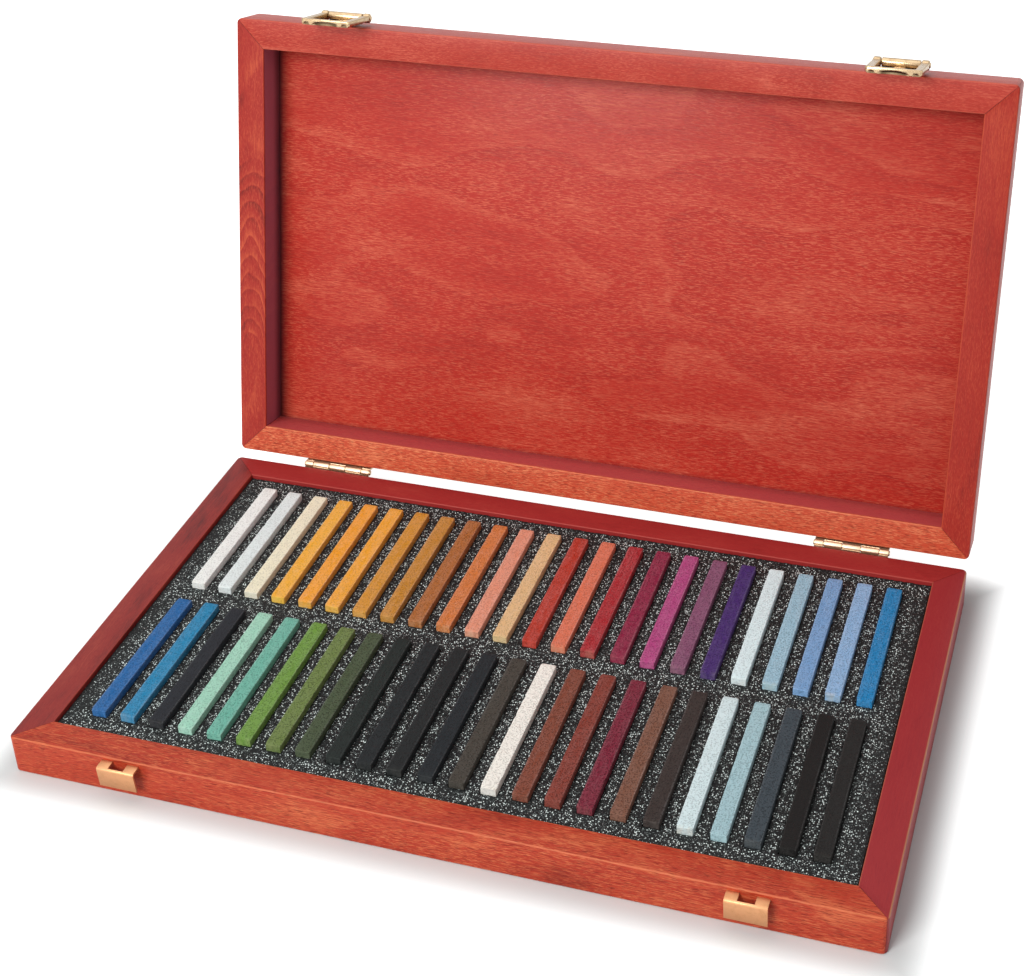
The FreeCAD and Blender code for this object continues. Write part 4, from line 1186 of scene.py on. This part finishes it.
def buildCatches(tree):
    look, nails, bailBrass = catchLook, [], None
    for side in ("left", "right"):
        addBrass(f"{side}_keeper", keeperMesh(*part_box(f"{side}_keeper"), baseLow.y), satin, "base")
        rodLow, rodHigh = shutBox(f"{side}_catch_rod")
        rod = (rodLow + rodHigh) / 2
        bracket = bracketMesh(*shutBox(f"{side}_catch_bracket"), rod, lidLow.y)
        addBrass(f"{side}_catch_bracket", bracket, polished, "lid", True)
        bar = easedRod(rodLow.x, rodHigh.x, (rodHigh.z - rodLow.z) / 2, look["rodEase"],
                       Vector((0, rod.y, rod.z)), look["rodSteps"])
        addBrass(f"{side}_catch_rod", bar, polished, "lid", True)
        low, high = shutBox(f"{side}_catch_bail")
        bailBrass = bailBrass or brassMaterial("polished", paintedPocketShade(rod, low))
        addBrass(f"{side}_catch_bail", bailMesh(low, high, rod), bailBrass, f"{side}_bail", True)
        nails += [(rod.x + turn * look["nailSpread"], lidLow.y - look["sheet"], lidLow.z + look["nailRise"])
                  for turn in (-1, 1)]
    mesh = scattered(tree, nailMesh(), nails, math.pi / 2, 3, polished)
    addBrass("catch_bracket_nails", mesh, polished, "lid", True)


buildCatches(fastenerTree)
print("catches: two keepers, brackets and bails")


# Floor, light and camera

stageLook = {
    "floorSize": 8.0, "floorLevel": -0.1 * mm, "floorColour": (0.73, 0.755, 0.755), "farGlow": 0.85,
    "glowBand": (2 * mm, 30 * mm), "worldLight": 0.17, "lampAim": (0, 0, 0.05),
}
lamps = {  # place, size, power, colour
    "key": ((-0.75, -2.05, 1.42), 1.2, 52.0, (0.985, 1.0, 0.99)),
    "fill": ((1.9, -0.9, 1.1), 1.4, 5.5, (1.0, 1.0, 1.0)),
    "top": ((-0.35, 0.15, 1.7), 2.0, 14.0, (0.99, 1.0, 1.0)),
}
cameraLook = {
    "place": (0.25816, -0.66924, 0.60145), "turn": (0.856905, 0.491843, 0.090853, 0.124696),
    "lens": 67.606, "sensor": 36.0, "shift": (-0.04688, -0.14453), "clip": (0.01, 50.0),
}
white = (1.0, 1.0, 1.0)


def buildFloor():
    half, level = stageLook["floorSize"] / 2, stageLook["floorLevel"]
    corners = [(-half, -half, level), (half, -half, level), (half, half, level), (-half, half, level)]
    mesh = bpy.data.meshes.new("floor")
    mesh.from_pydata(corners, [], [(0, 1, 2, 3)])
    material, board = newMaterial("floor")
    diffuse = board.add("ShaderNodeBsdfDiffuse", {"Color": stageLook["floorColour"]})
    x, y = board.split(piecePoint(board, False))[:2]
    # painted light: from 2 mm beyond the case the floor starts to glow for camera and glossy rays, fully by
    # 30 mm, so shadows there fade to white
    reach = (abs(x) + cadBounds[0][0]).math("MAXIMUM", abs(y) + baseLow.y)
    away = board.band(reach, *stageLook["glowBand"])
    glow = board.add("ShaderNodeEmission", {"Color": white, "Strength": stageLook["farGlow"]})
    far = board.add("ShaderNodeAddShader", {0: diffuse, 1: glow})
    ray = board.add("ShaderNodeLightPath")
    seen = (ray.out("Is Camera Ray") + ray.out("Is Glossy Ray")).math("MINIMUM", 1.0)
    shown = board.add("ShaderNodeMixShader", {0: seen * away, 1: diffuse, 2: far})
    board.add("ShaderNodeOutputMaterial", {"Surface": shown})
    mesh.materials.append(material)
    linked("floor", mesh)


def buildWorld():
    world = bpy.data.worlds.new("studio")
    bpy.context.scene.world = world
    world.use_nodes = True
    world.node_tree.nodes.clear()
    board = Board(world.node_tree)
    ray = board.add("ShaderNodeLightPath")
    rays = ray.out("Is Camera Ray") + ray.out("Is Glossy Ray") + ray.out("Is Transmission Ray")
    soft, bright = (board.add("ShaderNodeBackground", {"Color": white, "Strength": strength})
                    for strength in (stageLook["worldLight"], 1.0))
    sky = board.add("ShaderNodeMixShader", {0: rays.math("MINIMUM", 1.0), 1: soft, 2: bright})
    board.add("ShaderNodeOutputWorld", {"Surface": sky})


def buildLamps():
    for name, (place, size, power, colour) in lamps.items():
        data = bpy.data.lights.new(name, "AREA")
        data.shape, data.size, data.energy, data.color = "SQUARE", size, power, colour
        lamp = linked(name, data)
        lamp.location = place
        aim = Vector(stageLook["lampAim"]) - Vector(place)
        lamp.rotation_euler = aim.to_track_quat("-Z", "Y").to_euler()


def buildCamera():
    look = cameraLook
    data = bpy.data.cameras.new("camera")
    data.lens, data.sensor_width = look["lens"], look["sensor"]
    data.shift_x, data.shift_y = look["shift"]
    data.clip_start, data.clip_end = look["clip"]
    camera = linked("camera", data)
    camera.rotation_mode = "QUATERNION"
    camera.location, camera.rotation_quaternion = look["place"], look["turn"]
    bpy.context.scene.camera = camera


buildFloor()
buildWorld()
buildLamps()
buildCamera()
bpy.context.scene.view_settings.view_transform = "Standard"
print("stage: floor, lamps and camera")
